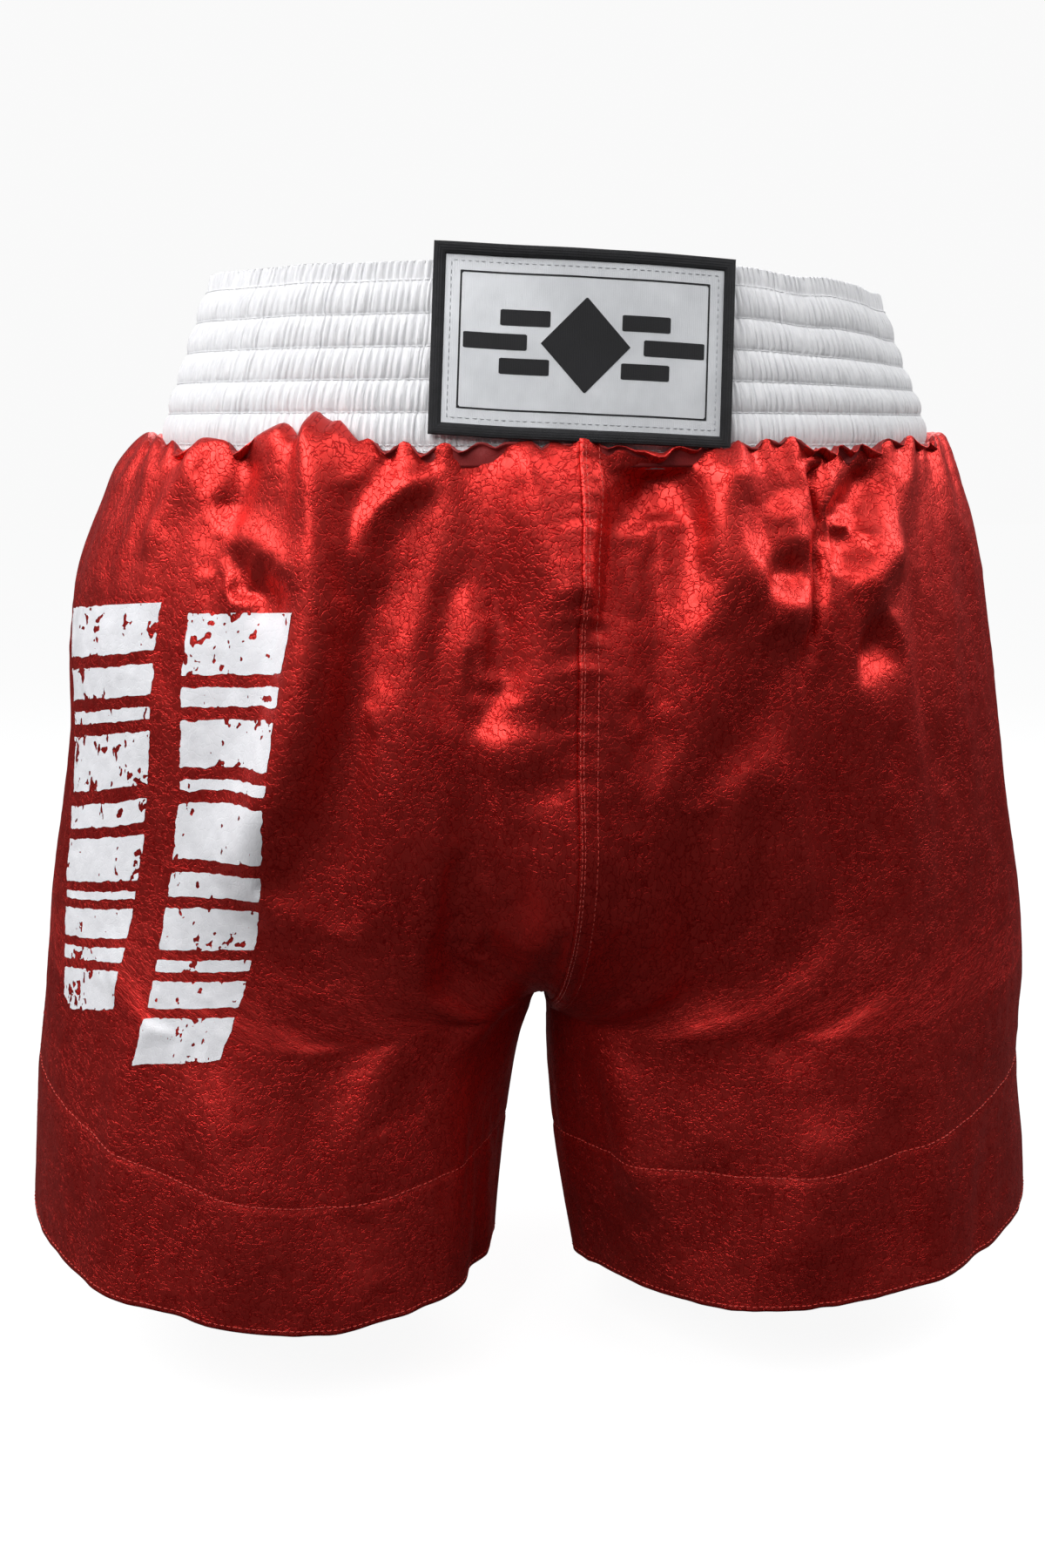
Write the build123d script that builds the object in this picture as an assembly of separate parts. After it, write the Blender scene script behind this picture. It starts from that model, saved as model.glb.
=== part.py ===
from build123d import *
from math import cos, sin, pi, radians, sqrt
import os

# Boxing shorts in the shape that they have on a body: a shirred white waistband with five
# elastics, a woven label on its front, and four satin panels that make two wide legs.
# Millimetres. The origin is the centre of the waist opening, level with the waistband's top
# edge. +Z is up, the front faces -Y and the wearer's left is +X.

# ---- Driving dimensions ----
CLOTH = 0.8              # thickness of every cloth panel, seam bulk shared out evenly
SEAM_GAP = 0.3           # from a panel's edge to the seam's own plane
PLY_GAP = 0.3            # between two plies that lie on each other
THREAD_WIDTH = 0.6
THREAD_HEIGHT = 0.3

BAND_HEIGHT = 86.0
HEADING = 8.0            # ruffle above the first elastic
CHANNEL_PITCH = 14.4     # from one stitched row to the next
CHANNELS = 5
ELASTIC_WIDTH = 12.4
ELASTIC_THICKNESS = 1.0
BAND_DEPTH = 3.6         # both walls of the casing with the elastic between them
PANEL_TOP = -80.5        # the panels' raw edge, caught inside the casing

RISE_START = -250.0      # where the centre seams begin to turn under the body
CROTCH = -370.0
HEM = -512.0
VENT_TOP = HEM + 95.0
FACING_TOP = HEM + 85.0
VENT_OPENING = 3.0       # at the hem, each side of the side seam
LEG_GAP = 20.0           # from the middle plane to each inseam, at the hem
EDGE_STITCH = 2.5        # from an edge to its stitching

PATCH_WIDTH = 136.0
PATCH_HEIGHT = 84.0
PATCH_CENTRE = (3.5, -37.0)
PATCH_ROLL = radians(3)  # the wearer's left end hangs lower
BORDER_WIDTH = 5.5
LABEL_STITCH = 8.0       # from the label's outer edge to its stitching

# Each outline is (height, half size) from the top down, to the cloth's outer face.
BAND_HALF_WIDTH = [(0, 168), (-20, 175), (-40, 182), (-60, 189.5), (-86, 195)]
BAND_HALF_DEPTH = [(0, 113), (-40, 121), (-86, 129)]
HIP_HALF_WIDTH = [(-79, 192.3), (-87, 193.9), (-92, 206), (-98, 216), (-108, 224), (-134, 234),
                  (-161, 240), (-216, 248), (-301, 260), (-389, 268), (-449, 271), (-512, 276)]
FRONT_HALF_DEPTH = [(-79, 126.2), (-87, 127.5), (-92, 133), (-100, 136), (-150, 138),
                    (-230, 137), (-370, 130), (-512, 125)]
BACK_HALF_DEPTH = [(-79, 126.2), (-87, 127.5), (-92, 134), (-108, 141), (-180, 150),
                   (-260, 147), (-370, 136), (-512, 130)]
FRONT_LEG_DEPTH = [(-230, 114), (-370, 112), (-512, 104)]
BACK_LEG_DEPTH = [(-230, 122), (-370, 119), (-512, 109)]

# ---- Sides of the garment ----
RIGHT, LEFT = -1, 1      # the wearer's right leg is on -X
FRONT, BACK = -1, 1
SIDE_NAME = {RIGHT: "right", LEFT: "left"}
FACE_NAME = {FRONT: "front", BACK: "back"}

os.makedirs("parts", exist_ok=True)


def save(name, solids):
    """Write one node; a list of solids stays a group of separate solids."""
    shape = solids if isinstance(solids, Solid) else Compound(children=list(solids))
    export_step(shape, f"parts/{name}.step")


def mix(a, b, share):
    return a + (b - a) * share


def spread(start, end, count):
    """Evenly spaced values, both ends included."""
    return [mix(start, end, i / (count - 1)) for i in range(count)]


def outline(stations, z):
    """Half size at a height, on a smooth line through the stations; straight past its ends."""
    last = len(stations) - 2
    i = 0
    while i < last and z < stations[i + 1][0]:
        i += 1
    (z0, a), (z1, b) = stations[i], stations[i + 1]

    def slope(k):
        low, high = max(k - 1, 0), min(k + 1, len(stations) - 1)
        return (stations[high][1] - stations[low][1]) / (stations[high][0] - stations[low][0])

    step = z1 - z0
    s = (z - z0) / step
    if s < 0 or s > 1:
        end = i if s < 0 else i + 1
        return stations[end][1] + slope(end) * (z - stations[end][0])
    return (a * (1 + 2 * s) * (1 - s) ** 2 + b * s * s * (3 - 2 * s)
            + step * (slope(i) * s * (1 - s) ** 2 + slope(i + 1) * s * s * (s - 1)))


def ease(x):
    x = min(max(x, 0), 1)
    return x * x * (3 - 2 * x)


# ---- Solids made from a surface ----

def slab(surface, us, vs, low, high):
    """Closed sheet of cloth between two lifts of surface(u, v, lift), ruled from row to row."""
    def row(v, lift):
        return Edge.make_spline([surface(u, v, lift) for u in us])

    def across(u, v):
        return Edge.make_line(surface(u, v, low), surface(u, v, high))

    ruled = Face.make_surface_from_curves
    faces = [ruled(row(v, low), row(v, high)) for v in (vs[0], vs[-1])]
    for v0, v1 in zip(vs, vs[1:]):
        faces += [ruled(row(v0, lift), row(v1, lift)) for lift in (low, high)]
        faces += [ruled(across(u, v0), across(u, v1)) for u in (us[0], us[-1])]
    return Solid(Shell(Face.sew_faces(faces)[0]))


def ellipse_solid(stations):
    """Smooth solid through level ellipses, each (z, half width, half depth)."""
    rings = [Wire([Edge.make_ellipse(a, b, Plane.XY.offset(z))]) for z, a, b in stations]
    return Solid.make_loft(rings)


def band_tube(z_low, z_high, lift_low, lift_high, levels=9):
    """Closed ring of the waistband's shape between two heights and two lifts."""
    def core(lift, margin):
        heights = spread(z_low - margin, z_high + margin, levels)
        return ellipse_solid([(z, outline(BAND_HALF_WIDTH, z) + lift,
                               outline(BAND_HALF_DEPTH, z) + lift) for z in heights])
    return (core(lift_high, 0) - core(lift_low, 0.5)).solid()


# ---- Waistband ----

def stitch_row(i):
    """Height of a stitched row, counted from the top."""
    return -HEADING - i * CHANNEL_PITCH


def make_waistband():
    # The casing is one strip folded over at the top, open below, where it holds the panels.
    body = band_tube(-BAND_HEIGHT, 0, -BAND_DEPTH, 0)
    pocket = band_tube(-BAND_HEIGHT - 1, -CLOTH, CLOTH - BAND_DEPTH, -CLOTH)
    save("waistband_casing", (body - pocket).solid())

    middle = -BAND_DEPTH / 2
    for i in range(CHANNELS):
        centre = stitch_row(i) - CHANNEL_PITCH / 2
        save(f"waist_elastic_{i + 1}",
             band_tube(centre - ELASTIC_WIDTH / 2, centre + ELASTIC_WIDTH / 2,
                       middle - ELASTIC_THICKNESS / 2, middle + ELASTIC_THICKNESS / 2, 4))

    rows = [stitch_row(i) for i in range(CHANNELS)]
    save("waistband_channel_threads",
         [band_tube(z - THREAD_WIDTH / 2, z + THREAD_WIDTH / 2, 0.05, 0.05 + THREAD_HEIGHT, 2)
          for z in rows])
    z = stitch_row(CHANNELS)
    save("waistband_joining_thread",
         band_tube(z - THREAD_WIDTH / 2, z + THREAD_WIDTH / 2, 0.05, 0.05 + THREAD_HEIGHT, 2))


# ---- Label on the waistband ----

def patch_point(p, q, lift):
    """Point over the waistband's front, p across and q up from the label's centre."""
    x = PATCH_CENTRE[0] + p * cos(PATCH_ROLL) + q * sin(PATCH_ROLL)
    z = PATCH_CENTRE[1] - p * sin(PATCH_ROLL) + q * cos(PATCH_ROLL)
    a = outline(BAND_HALF_WIDTH, z) + lift
    b = outline(BAND_HALF_DEPTH, z) + lift
    return (x, -b * sqrt(1 - (x / a) ** 2), z)


def patch_quad(corners, low, high):
    """Sheet over the waistband between four corners (p, q), taken in turn round the quad."""
    (p0, q0), (p1, q1), (p2, q2), (p3, q3) = corners

    def surface(u, v, lift):
        p = mix(mix(p0, p1, u), mix(p3, p2, u), v)
        q = mix(mix(q0, q1, u), mix(q3, q2, u), v)
        return patch_point(p, q, lift)

    return slab(surface, spread(0, 1, 9), spread(0, 1, 5), low, high)


def patch_rect(p0, p1, q0, q1, low, high):
    return patch_quad([(p0, q0), (p1, q0), (p1, q1), (p0, q1)], low, high)


def patch_frame(inset, width, low, high):
    """Four strips round the label, their outer edge this far in from the label's."""
    p = PATCH_WIDTH / 2 - inset
    q = PATCH_HEIGHT / 2 - inset
    return [patch_rect(-p, p, q - width, q, low, high),
            patch_rect(-p, p, -q, width - q, low, high),
            patch_rect(-p, width - p, width - q + 0.05, q - width - 0.05, low, high),
            patch_rect(p - width, p, width - q + 0.05, q - width - 0.05, low, high)]


def make_label():
    half_width, half_height = PATCH_WIDTH / 2, PATCH_HEIGHT / 2
    backing_low = THREAD_HEIGHT + PLY_GAP
    backing_top = backing_low + CLOTH
    label_low = backing_top + 0.1
    label_top = label_low + 0.5
    save("label_backing", patch_rect(-half_width + 1, half_width - 1, -half_height + 1,
                                     half_height - 1, backing_low, backing_top))
    inner_p = half_width - BORDER_WIDTH - 0.1
    inner_q = half_height - BORDER_WIDTH - 0.1
    save("label_face", patch_rect(-inner_p, inner_p, -inner_q, inner_q, label_low, label_top))
    save("label_border", patch_frame(0, BORDER_WIDTH, label_low, label_top + 0.4))
    ink_low, ink_top = label_top + 0.05, label_top + 0.25
    save("label_stitching", patch_frame(LABEL_STITCH, THREAD_WIDTH, ink_low, ink_top))

    # Plain emblem: a lozenge with three bars each side of it, inside a thin keyline.
    emblem = [patch_quad([(0, -21), (20, 0), (0, 21), (-20, 0)], ink_low, ink_top)]
    for side in (-1, 1):
        for q, start, length in ((10.5, 16, 22), (0, 26, 28), (-10.5, 16, 22)):
            ends = sorted((side * start, side * (start + length)))
            emblem.append(patch_rect(*ends, q - 3.5, q + 3.5, ink_low, ink_top))
    emblem += patch_frame(12, 0.8, ink_low, ink_top)
    save("label_emblem", emblem)


# ---- Satin panels ----

def panel_surface(side, face):
    """Surface of one quarter of the shorts, as point(t, h, lift).

    t runs round the body from the side seam, 0, to the centre seam and inseam, 1. h is the
    height on the side seam, so the same h sits a little lower where the crotch turns under.
    """
    hip_depth = FRONT_HALF_DEPTH if face == FRONT else BACK_HALF_DEPTH
    leg_depth = FRONT_LEG_DEPTH if face == FRONT else BACK_LEG_DEPTH
    turn = RISE_START - CROTCH

    def point(t, h, lift):
        half_width = outline(HIP_HALF_WIDTH, h) + lift
        hip = outline(hip_depth, h) + lift
        leg = outline(leg_depth, h) + lift
        gap = SEAM_GAP + LEG_GAP * max(CROTCH - h, 0) / (CROTCH - HEM)
        # Share of the leg's own oval in this section, sharp at the seam and soft beside it.
        angle = min(max((RISE_START - h) / turn, 0), 1) * pi / 2
        soft = ease((RISE_START + 20 - h) / (turn + 90))
        leg_share = mix(soft, 1 - cos(angle), t ** 4)
        radius = (half_width - gap + lift) / 2
        x = mix(half_width * cos(t * pi / 2) + SEAM_GAP * t,
                half_width - radius + radius * cos(t * pi), leg_share)
        y = mix(hip * sin(t * pi / 2), leg * sin(t * pi), leg_share)
        level = RISE_START - (turn + lift) * sin(angle)
        drop = (level - h) * t ** 3 if RISE_START > h > CROTCH else 0
        if h <= CROTCH:
            drop = -lift * t ** 3 * max(0, 1 - (CROTCH - h) / 20)
        return (side * x, face * (y + SEAM_GAP), h + drop)

    return point


def t_step(surface, t, h, distance):
    """Change in t that is this distance along the section."""
    small = 0.004
    a, b = Vector(*surface(t - small, h, 0)), Vector(*surface(t + small, h, 0))
    return distance * 2 * small / (b - a).length


def side_edge(h):
    """Distance from the side seam's plane to the panel's edge, which opens below the vent."""
    return VENT_OPENING * max(VENT_TOP - h, 0) / (VENT_TOP - HEM)


PANEL_HEIGHTS = ([PANEL_TOP, -87, -90, -94, -98, -103, -110, -120]
                 + spread(-134, RISE_START, 6) + spread(RISE_START - 12, CROTCH, 9)
                 + spread(CROTCH - 14, HEM, 7))


def panel_slab(side, face, heights, low, high, inset=0.0):
    """Cloth from the side edge to the centre seam and inseam."""
    surface = panel_surface(side, face)

    def clipped(u, h, lift):
        start = t_step(surface, 0, h, side_edge(h) + inset)
        return surface(mix(start, 1, u), h, lift)

    return slab(clipped, spread(0, 1, 15), heights, low, high)


def row_down(side, face, start, distance, top, bottom, low, high):
    """Thread down the cloth, this far along the section from t = start (0 or 1)."""
    heights = [top] + [h for h in PANEL_HEIGHTS if bottom + 1 < h < top - 1] + [bottom]
    surface = panel_surface(side, face)
    sign = 1 if start == 0 else -1

    def strip(u, h, lift):
        edge = side_edge(h) if start == 0 else 0
        offset = distance + edge + (u - 0.5) * THREAD_WIDTH
        return surface(start + sign * t_step(surface, start, h, offset), h, lift)

    return slab(strip, [0, 0.5, 1], heights, low, high)


def row_across(side, face, height, low, high):
    """Thread round the leg at one height, from the side edge to the inseam."""
    surface = panel_surface(side, face)

    def strip(t, v, lift):
        return surface(t, height + (v - 0.5) * THREAD_WIDTH, lift)

    start = t_step(surface, 0, height, side_edge(height) + EDGE_STITCH)
    end = 1 - t_step(surface, 1, height, EDGE_STITCH)
    return slab(strip, spread(start, end, 21), [0, 0.5, 1], low, high)


def make_panels():
    outer = (0.05, 0.05 + THREAD_HEIGHT)
    facing_low = -2 * CLOTH - PLY_GAP
    inner = (-CLOTH - 0.05 - THREAD_HEIGHT, -CLOTH - 0.05)
    facing_heights = spread(FACING_TOP, HEM + 0.5, 8)
    for side in (RIGHT, LEFT):
        for face in (FRONT, BACK):
            name = f"{FACE_NAME[face]}_{SIDE_NAME[side]}"
            save(f"{name}_panel", panel_slab(side, face, PANEL_HEIGHTS, -CLOTH, 0))
            save(f"{name}_hem_facing", panel_slab(side, face, facing_heights, facing_low,
                                                  facing_low + CLOTH, 1.0))
            save(f"{name}_facing_thread", row_across(side, face, FACING_TOP - 2, *outer))
            save(f"{name}_hem_threads",
                 [row_across(side, face, HEM + EDGE_STITCH, *outer),
                  row_down(side, face, 0, EDGE_STITCH, VENT_TOP, HEM + 2 * EDGE_STITCH, *outer)])

        seam_top = -BAND_HEIGHT - 4
        save(f"{SIDE_NAME[side]}_side_seam_threads",
             [row_down(side, face, 0, 5, seam_top, VENT_TOP + 2, *inner)
              for face in (FRONT, BACK)])
        save(f"{SIDE_NAME[side]}_inseam_threads",
             [row_down(side, face, 1, 5, CROTCH - 5, FACING_TOP + 2, *inner)
              for face in (FRONT, BACK)])
        x = side * (outline(HIP_HALF_WIDTH, VENT_TOP) + 0.35)
        save(f"{SIDE_NAME[side]}_vent_bartack", Pos(x, 0, VENT_TOP + 1) * Box(0.4, 7, 1.6).solid())

    # Flat-felled centre seams: three rows, all on the wearer's left of the seam.
    for face in (FRONT, BACK):
        save(f"{FACE_NAME[face]}_rise_threads",
             [row_down(LEFT, face, 1, distance, -BAND_HEIGHT - 4, CROTCH + 6, *outer)
              for distance in (1.2, 2.8, 9.2)])


# ---- Print on the wearer's right leg ----

PRINT_COLUMNS = ((0.10, 0.245, -160.0), (0.31, 0.475, -166.0))   # t of both edges, top
PRINT_LEAN = -0.055      # change in t over the column's length
PRINT_BLOCKS = (26.0, 12.0, 36.0, 18.0, 44.0, 12.0, 30.0)        # heights, from the top
PRINT_SPACE = 7.0


def make_leg_print():
    surface = panel_surface(RIGHT, FRONT)
    length = sum(PRINT_BLOCKS) + PRINT_SPACE * (len(PRINT_BLOCKS) - 1)
    blocks = []
    for t0, t1, top in PRINT_COLUMNS:
        z = top
        for height in PRINT_BLOCKS:
            def block(u, h, lift):
                return surface(mix(t0, t1, u) + PRINT_LEAN * (top - h) / length, h, lift)
            blocks.append(slab(block, spread(0, 1, 5), spread(z, z - height, 5), 0.05, 0.2))
            z -= height + PRINT_SPACE
    save("leg_print", blocks)


def make_care_label():
    """Folded tape caught under the back of the waistband, inside, to the wearer's left."""
    centre, width, length, thickness, top = 40.0, 30.0, 45.0, 0.5, -72.0
    far = centre + width / 2
    inside_width = outline(BAND_HALF_WIDTH, top) - BAND_DEPTH
    inside_depth = outline(BAND_HALF_DEPTH, top) - BAND_DEPTH
    y = inside_depth * sqrt(1 - (far / inside_width) ** 2) - thickness
    save("care_label", Pos(centre, y, top - length / 2) * Box(width, thickness, length).solid())


make_waistband()
make_label()
make_panels()
make_leg_print()
make_care_label()
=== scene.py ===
from math import cos, pi, radians, sin

import bpy
import numpy as np
from mathutils import Euler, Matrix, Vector, noise


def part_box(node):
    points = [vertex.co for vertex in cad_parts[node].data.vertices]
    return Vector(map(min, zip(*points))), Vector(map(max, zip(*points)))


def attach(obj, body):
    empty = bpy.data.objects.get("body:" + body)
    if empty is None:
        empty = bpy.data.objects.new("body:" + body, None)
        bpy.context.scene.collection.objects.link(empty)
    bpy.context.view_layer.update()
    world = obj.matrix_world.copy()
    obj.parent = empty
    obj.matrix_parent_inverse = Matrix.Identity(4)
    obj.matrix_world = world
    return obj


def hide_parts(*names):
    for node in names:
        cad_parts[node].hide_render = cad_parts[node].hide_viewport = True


# Boxing shorts in worn shape. Metres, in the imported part's own frame: the origin is the centre of
# the waist opening, +Z up, the front faces -Y, and the wearer's right leg is on -X.

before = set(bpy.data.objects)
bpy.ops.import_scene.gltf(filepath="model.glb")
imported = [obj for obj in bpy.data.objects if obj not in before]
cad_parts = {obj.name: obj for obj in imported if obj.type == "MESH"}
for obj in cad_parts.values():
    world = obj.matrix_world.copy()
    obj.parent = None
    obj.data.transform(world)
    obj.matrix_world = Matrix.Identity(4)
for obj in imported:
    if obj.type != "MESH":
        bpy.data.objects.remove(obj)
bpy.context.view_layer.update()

MM = 0.001
RIGHT, LEFT = -1, 1
FRONT, BACK = -1, 1
SIDE_NAME = {RIGHT: "right", LEFT: "left"}
FACE_NAME = {FRONT: "front", BACK: "back"}
QUARTERS = [(side, face) for side in (RIGHT, LEFT) for face in (FRONT, BACK)]

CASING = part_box("waistband_casing")
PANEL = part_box("front_left_panel")
BAND_BOTTOM = CASING[0][2]
HEM = PANEL[0][2]
VENT_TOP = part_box("left_vent_bartack")[0][2]
FACING_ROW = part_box("front_left_facing_thread")[0][2]


# ---------------------------------------------------------------- small helpers

def mix(a, b, share):
    return a + (b - a) * share


def ease(x):
    x = np.clip(x, 0, 1)
    return x * x * (3 - 2 * x)


def outline(stations, h):
    """Smooth line through (height, value) stations in millimetres, top first; h and result in metres."""
    heights, values = np.array(stations, float).T
    x = -np.asarray(h, float) / MM
    knots = -heights
    slopes = np.gradient(values, knots)
    i = np.clip(np.searchsorted(knots, x) - 1, 0, len(knots) - 2)
    step = knots[i + 1] - knots[i]
    s = np.clip((x - knots[i]) / step, 0, 1)
    value = (values[i] * (1 + 2 * s) * (1 - s) ** 2 + values[i + 1] * s * s * (3 - 2 * s)
             + step * (slopes[i] * s * (1 - s) ** 2 + slopes[i + 1] * s * s * (s - 1)))
    return value * MM


def wander(x, pitch, seed):
    """Smooth random line from -1 to 1 along x, with a new value every pitch."""
    table = np.random.default_rng(seed).uniform(-1, 1, 4096)
    x = np.asarray(x, float) / pitch + 1024
    i = np.floor(x).astype(int)
    return mix(table[i % 4096], table[(i + 1) % 4096], ease(x - i))


def grid_normals(points):
    """Unit normals of a grid of points: across the row crossed with down the column."""
    across = np.gradient(points, axis=1)
    down = np.gradient(points, axis=0)
    n = np.cross(across, down)
    return n / np.maximum(np.linalg.norm(n, axis=2, keepdims=True), 1e-12)


def outward(side, face):
    """Factor that turns a quarter's grid normals away from the body."""
    return -1 if side * face > 0 else 1


def new_mesh(name, points, faces, uvs=None, smooth=True):
    """Mesh object from vertices, faces and one uv for each vertex."""
    mesh = bpy.data.meshes.new(name)
    mesh.from_pydata([tuple(p) for p in np.asarray(points, float)], [],
                     [tuple(int(i) for i in f) for f in faces])
    if uvs is not None:
        layer = mesh.uv_layers.new(name="cloth")
        corner = np.empty(len(mesh.loops), int)
        mesh.loops.foreach_get("vertex_index", corner)
        layer.data.foreach_set("uv", np.asarray(uvs, float)[corner].ravel())
    mesh.update()
    if smooth:
        mesh.shade_smooth()
    obj = bpy.data.objects.new(name, mesh)
    bpy.context.collection.objects.link(obj)
    return obj


def grid_faces(rows, columns, closed=False, flip=False):
    """Quads of a grid of vertices stored row by row."""
    j, i = np.meshgrid(np.arange(rows - 1), np.arange(columns if closed else columns - 1),
                       indexing="ij")
    k = (i + 1) % columns
    quads = np.stack([j * columns + i, j * columns + k, (j + 1) * columns + k,
                      (j + 1) * columns + i], axis=-1).reshape(-1, 4)
    return quads[:, ::-1] if flip else quads


def finish_piece(obj, material, slot, *nodes):
    """What every piece needs: its material, its body and the CAD nodes it stands for; slot is not used."""
    obj.data.materials.append(material)
    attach(obj, "root")
    if nodes:
        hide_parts(*nodes)
    return obj


def apply_modifiers(obj):
    depsgraph = bpy.context.evaluated_depsgraph_get()
    mesh = bpy.data.meshes.new_from_object(obj.evaluated_get(depsgraph))
    obj.modifiers.clear()
    obj.data = mesh
    return obj


# ---------------------------------------------------------------- worn shape

CROTCH = -0.370          # nominal height of the point where the legs part
RISE_START = -0.250      # where the body's one outline starts to turn into two legs
SEAM_H = -0.060          # nominal height of the gathered edge, which lies under the waistband
VENT_OPENING = 0.003     # at the hem, from the side seam's plane to each edge
# From the middle plane to each inseam: the distance at the hem, and how late it opens on the way down.
LEG_GAP = {RIGHT: (0.032, 0.68), LEFT: (0.020, 1.9)}

# (nominal height, size) in millimetres. The nominal height runs down the cloth from the gathered
# edge: the puff first rises over the waistband's lower edge, then falls.
HALF_WIDTH = [(-60, 193), (-64, 197), (-70, 202.5), (-79, 210), (-90, 217), (-106, 223), (-134, 233),
              (-161, 240), (-216, 248), (-301, 260), (-389, 268), (-449, 271), (-512, 276)]
HALF_DEPTH = {
    FRONT: [(-60, 127), (-68, 130), (-76, 131), (-90, 132), (-106, 133), (-150, 138), (-200, 141),
            (-250, 139), (-370, 128), (-512, 123)],
    BACK: [(-60, 127), (-68, 131), (-76, 135), (-90, 139), (-108, 142), (-180, 149), (-260, 146),
           (-370, 136), (-512, 130)]}
LEG_DEPTH = {FRONT: [(-60, 102), (-230, 102), (-370, 103), (-512, 104)],
             BACK: [(-60, 120), (-230, 121), (-370, 118), (-512, 108)]}
PUFF_AT_SIDE = [(-60, -89.5), (-64, -82), (-70, -75), (-79, -75), (-90, -85), (-106, -104)]
PUFF_AT_MIDDLE = [(-60, -89.5), (-67, -80), (-76, -80), (-90, -91), (-106, -108)]
PUFF_END = -0.106
# How much the hem rises at the side, how fast that fades along it, and what all of it rises by.
SIDE_RISE = {RIGHT: (0.038, 2.4, 0.003), LEFT: (0.031, 2.4, 0.001)}
# What each side's half width differs by, and each front leg's depth, in millimetres by nominal height.
SIDE_EXTRA = {RIGHT: [(-60, 0), (-79, -5), (-92, 0), (-106, 2.5), (-134, 5), (-170, 3), (-216, -1),
                      (-300, 0), (-400, 0.5), (-425, 3), (-512, 4)],
              LEFT: [(-60, 0), (-79, -6), (-106, -6), (-134, -8), (-170, -10), (-216, -8), (-260, -6),
                     (-300, -4.5), (-380, -4), (-425, -7), (-450, -7), (-490, -5), (-512, -5)]}
DEPTH_EXTRA = {RIGHT: [(-60, 0), (-300, 0), (-420, 8), (-512, 15)], LEFT: [(-60, 0), (-512, 0)]}


def worn_point(side, face, t, h):
    """Smooth shape. t is 0 at the side seam and 1 at the centre seam or inseam; h is nominal."""
    half_width = outline(HALF_WIDTH, h) + outline(SIDE_EXTRA[side], h)
    hip = outline(HALF_DEPTH[face], h)
    leg = outline(LEG_DEPTH[face], h)
    if face == FRONT:
        leg = leg + outline(DEPTH_EXTRA[side], h)
    below_crotch = np.clip((CROTCH - h) / (CROTCH - HEM), 0, 1)
    widest, late = LEG_GAP[side]
    gap = widest * below_crotch ** late * t ** 4
    turn = RISE_START - CROTCH
    angle = np.clip((RISE_START - h) / turn, 0, 1) * pi / 2
    soft = ease((RISE_START + 0.06 - h) / (turn + 0.15))
    leg_share = mix(soft, 1 - np.cos(angle), t ** 4)
    radius = half_width / 2
    # Above the crotch the outline is one oval; below it each leg has a round one of its own.
    x = mix(half_width * np.cos(t * pi / 2), radius + radius * np.cos(t * pi), leg_share) + gap
    # Near its inseam a leg's cloth falls back from the round outline.
    turn_in = ease((t - 0.62) / 0.34) * ease((CROTCH + 0.060 - h) / 0.15)
    inner = 1 - (0.63 if side == RIGHT else 0.42) * turn_in
    y = mix(hip * np.sin(t * pi / 2), leg * np.sin(t * pi) * inner, leg_share)
    level = RISE_START - turn * np.sin(angle)
    drop = np.where((h < RISE_START) & (h > CROTCH), (level - h) * t ** 3, 0)
    middle = np.sin(t * pi / 2) ** 2
    # The gathered edge lies under the band: the cloth rises from it, rolls over and falls.
    puff = mix(outline(PUFF_AT_SIDE, h), outline(PUFF_AT_MIDDLE, h), middle)
    z = np.where(h > PUFF_END, puff, mix(-0.104, -0.108, middle) + (h - PUFF_END)
                 * (1 + mix(-0.002, 0.002, middle) / (PUFF_END - HEM))) + drop
    # The hem rises toward the side vents, and on the wearer's right toward the inseam too.
    rise, fade, fall = SIDE_RISE[side]
    corner = 0.012 * ease((t - 0.54) / 0.16) if side == RIGHT else 0
    z = z + (rise * (1 - t) ** fade + fall + corner) * ease((-0.250 - h) / 0.16)
    return np.stack([side * x, face * y, z], axis=-1)


COLUMNS = 64
ROWS = np.concatenate([np.linspace(SEAM_H, PUFF_END, 16)[:-1],
                       np.linspace(PUFF_END, HEM, 78)])


def worn_grid(side, face):
    """Rows of evenly spaced points, from the side seam to the centre seam and inseam."""
    open_by = VENT_OPENING * np.clip((VENT_TOP - ROWS) / (VENT_TOP - HEM), 0, 1) / 0.4
    dense = mix(open_by[:, None], 1, np.linspace(0, 1, 400)[None, :])
    points = worn_point(side, face, dense, ROWS[:, None])
    out = np.empty((len(ROWS), COLUMNS + 1, 3))
    for j, row in enumerate(points):
        run = np.concatenate([[0], np.cumsum(np.linalg.norm(np.diff(row, axis=0), axis=1))])
        even = np.linspace(0, run[-1], COLUMNS + 1)
        for k in range(3):
            out[j, :, k] = np.interp(even, run, row[:, k])
    return out


def cloth_distance(points):
    """Distance of each grid point from the row's middle end, along the row."""
    step = np.linalg.norm(np.diff(points, axis=1), axis=2)
    run = np.cumsum(step[:, ::-1], axis=1)[:, ::-1]
    return np.concatenate([run, np.zeros((len(points), 1))], axis=1)


# ---------------------------------------------------------------- folds

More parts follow.
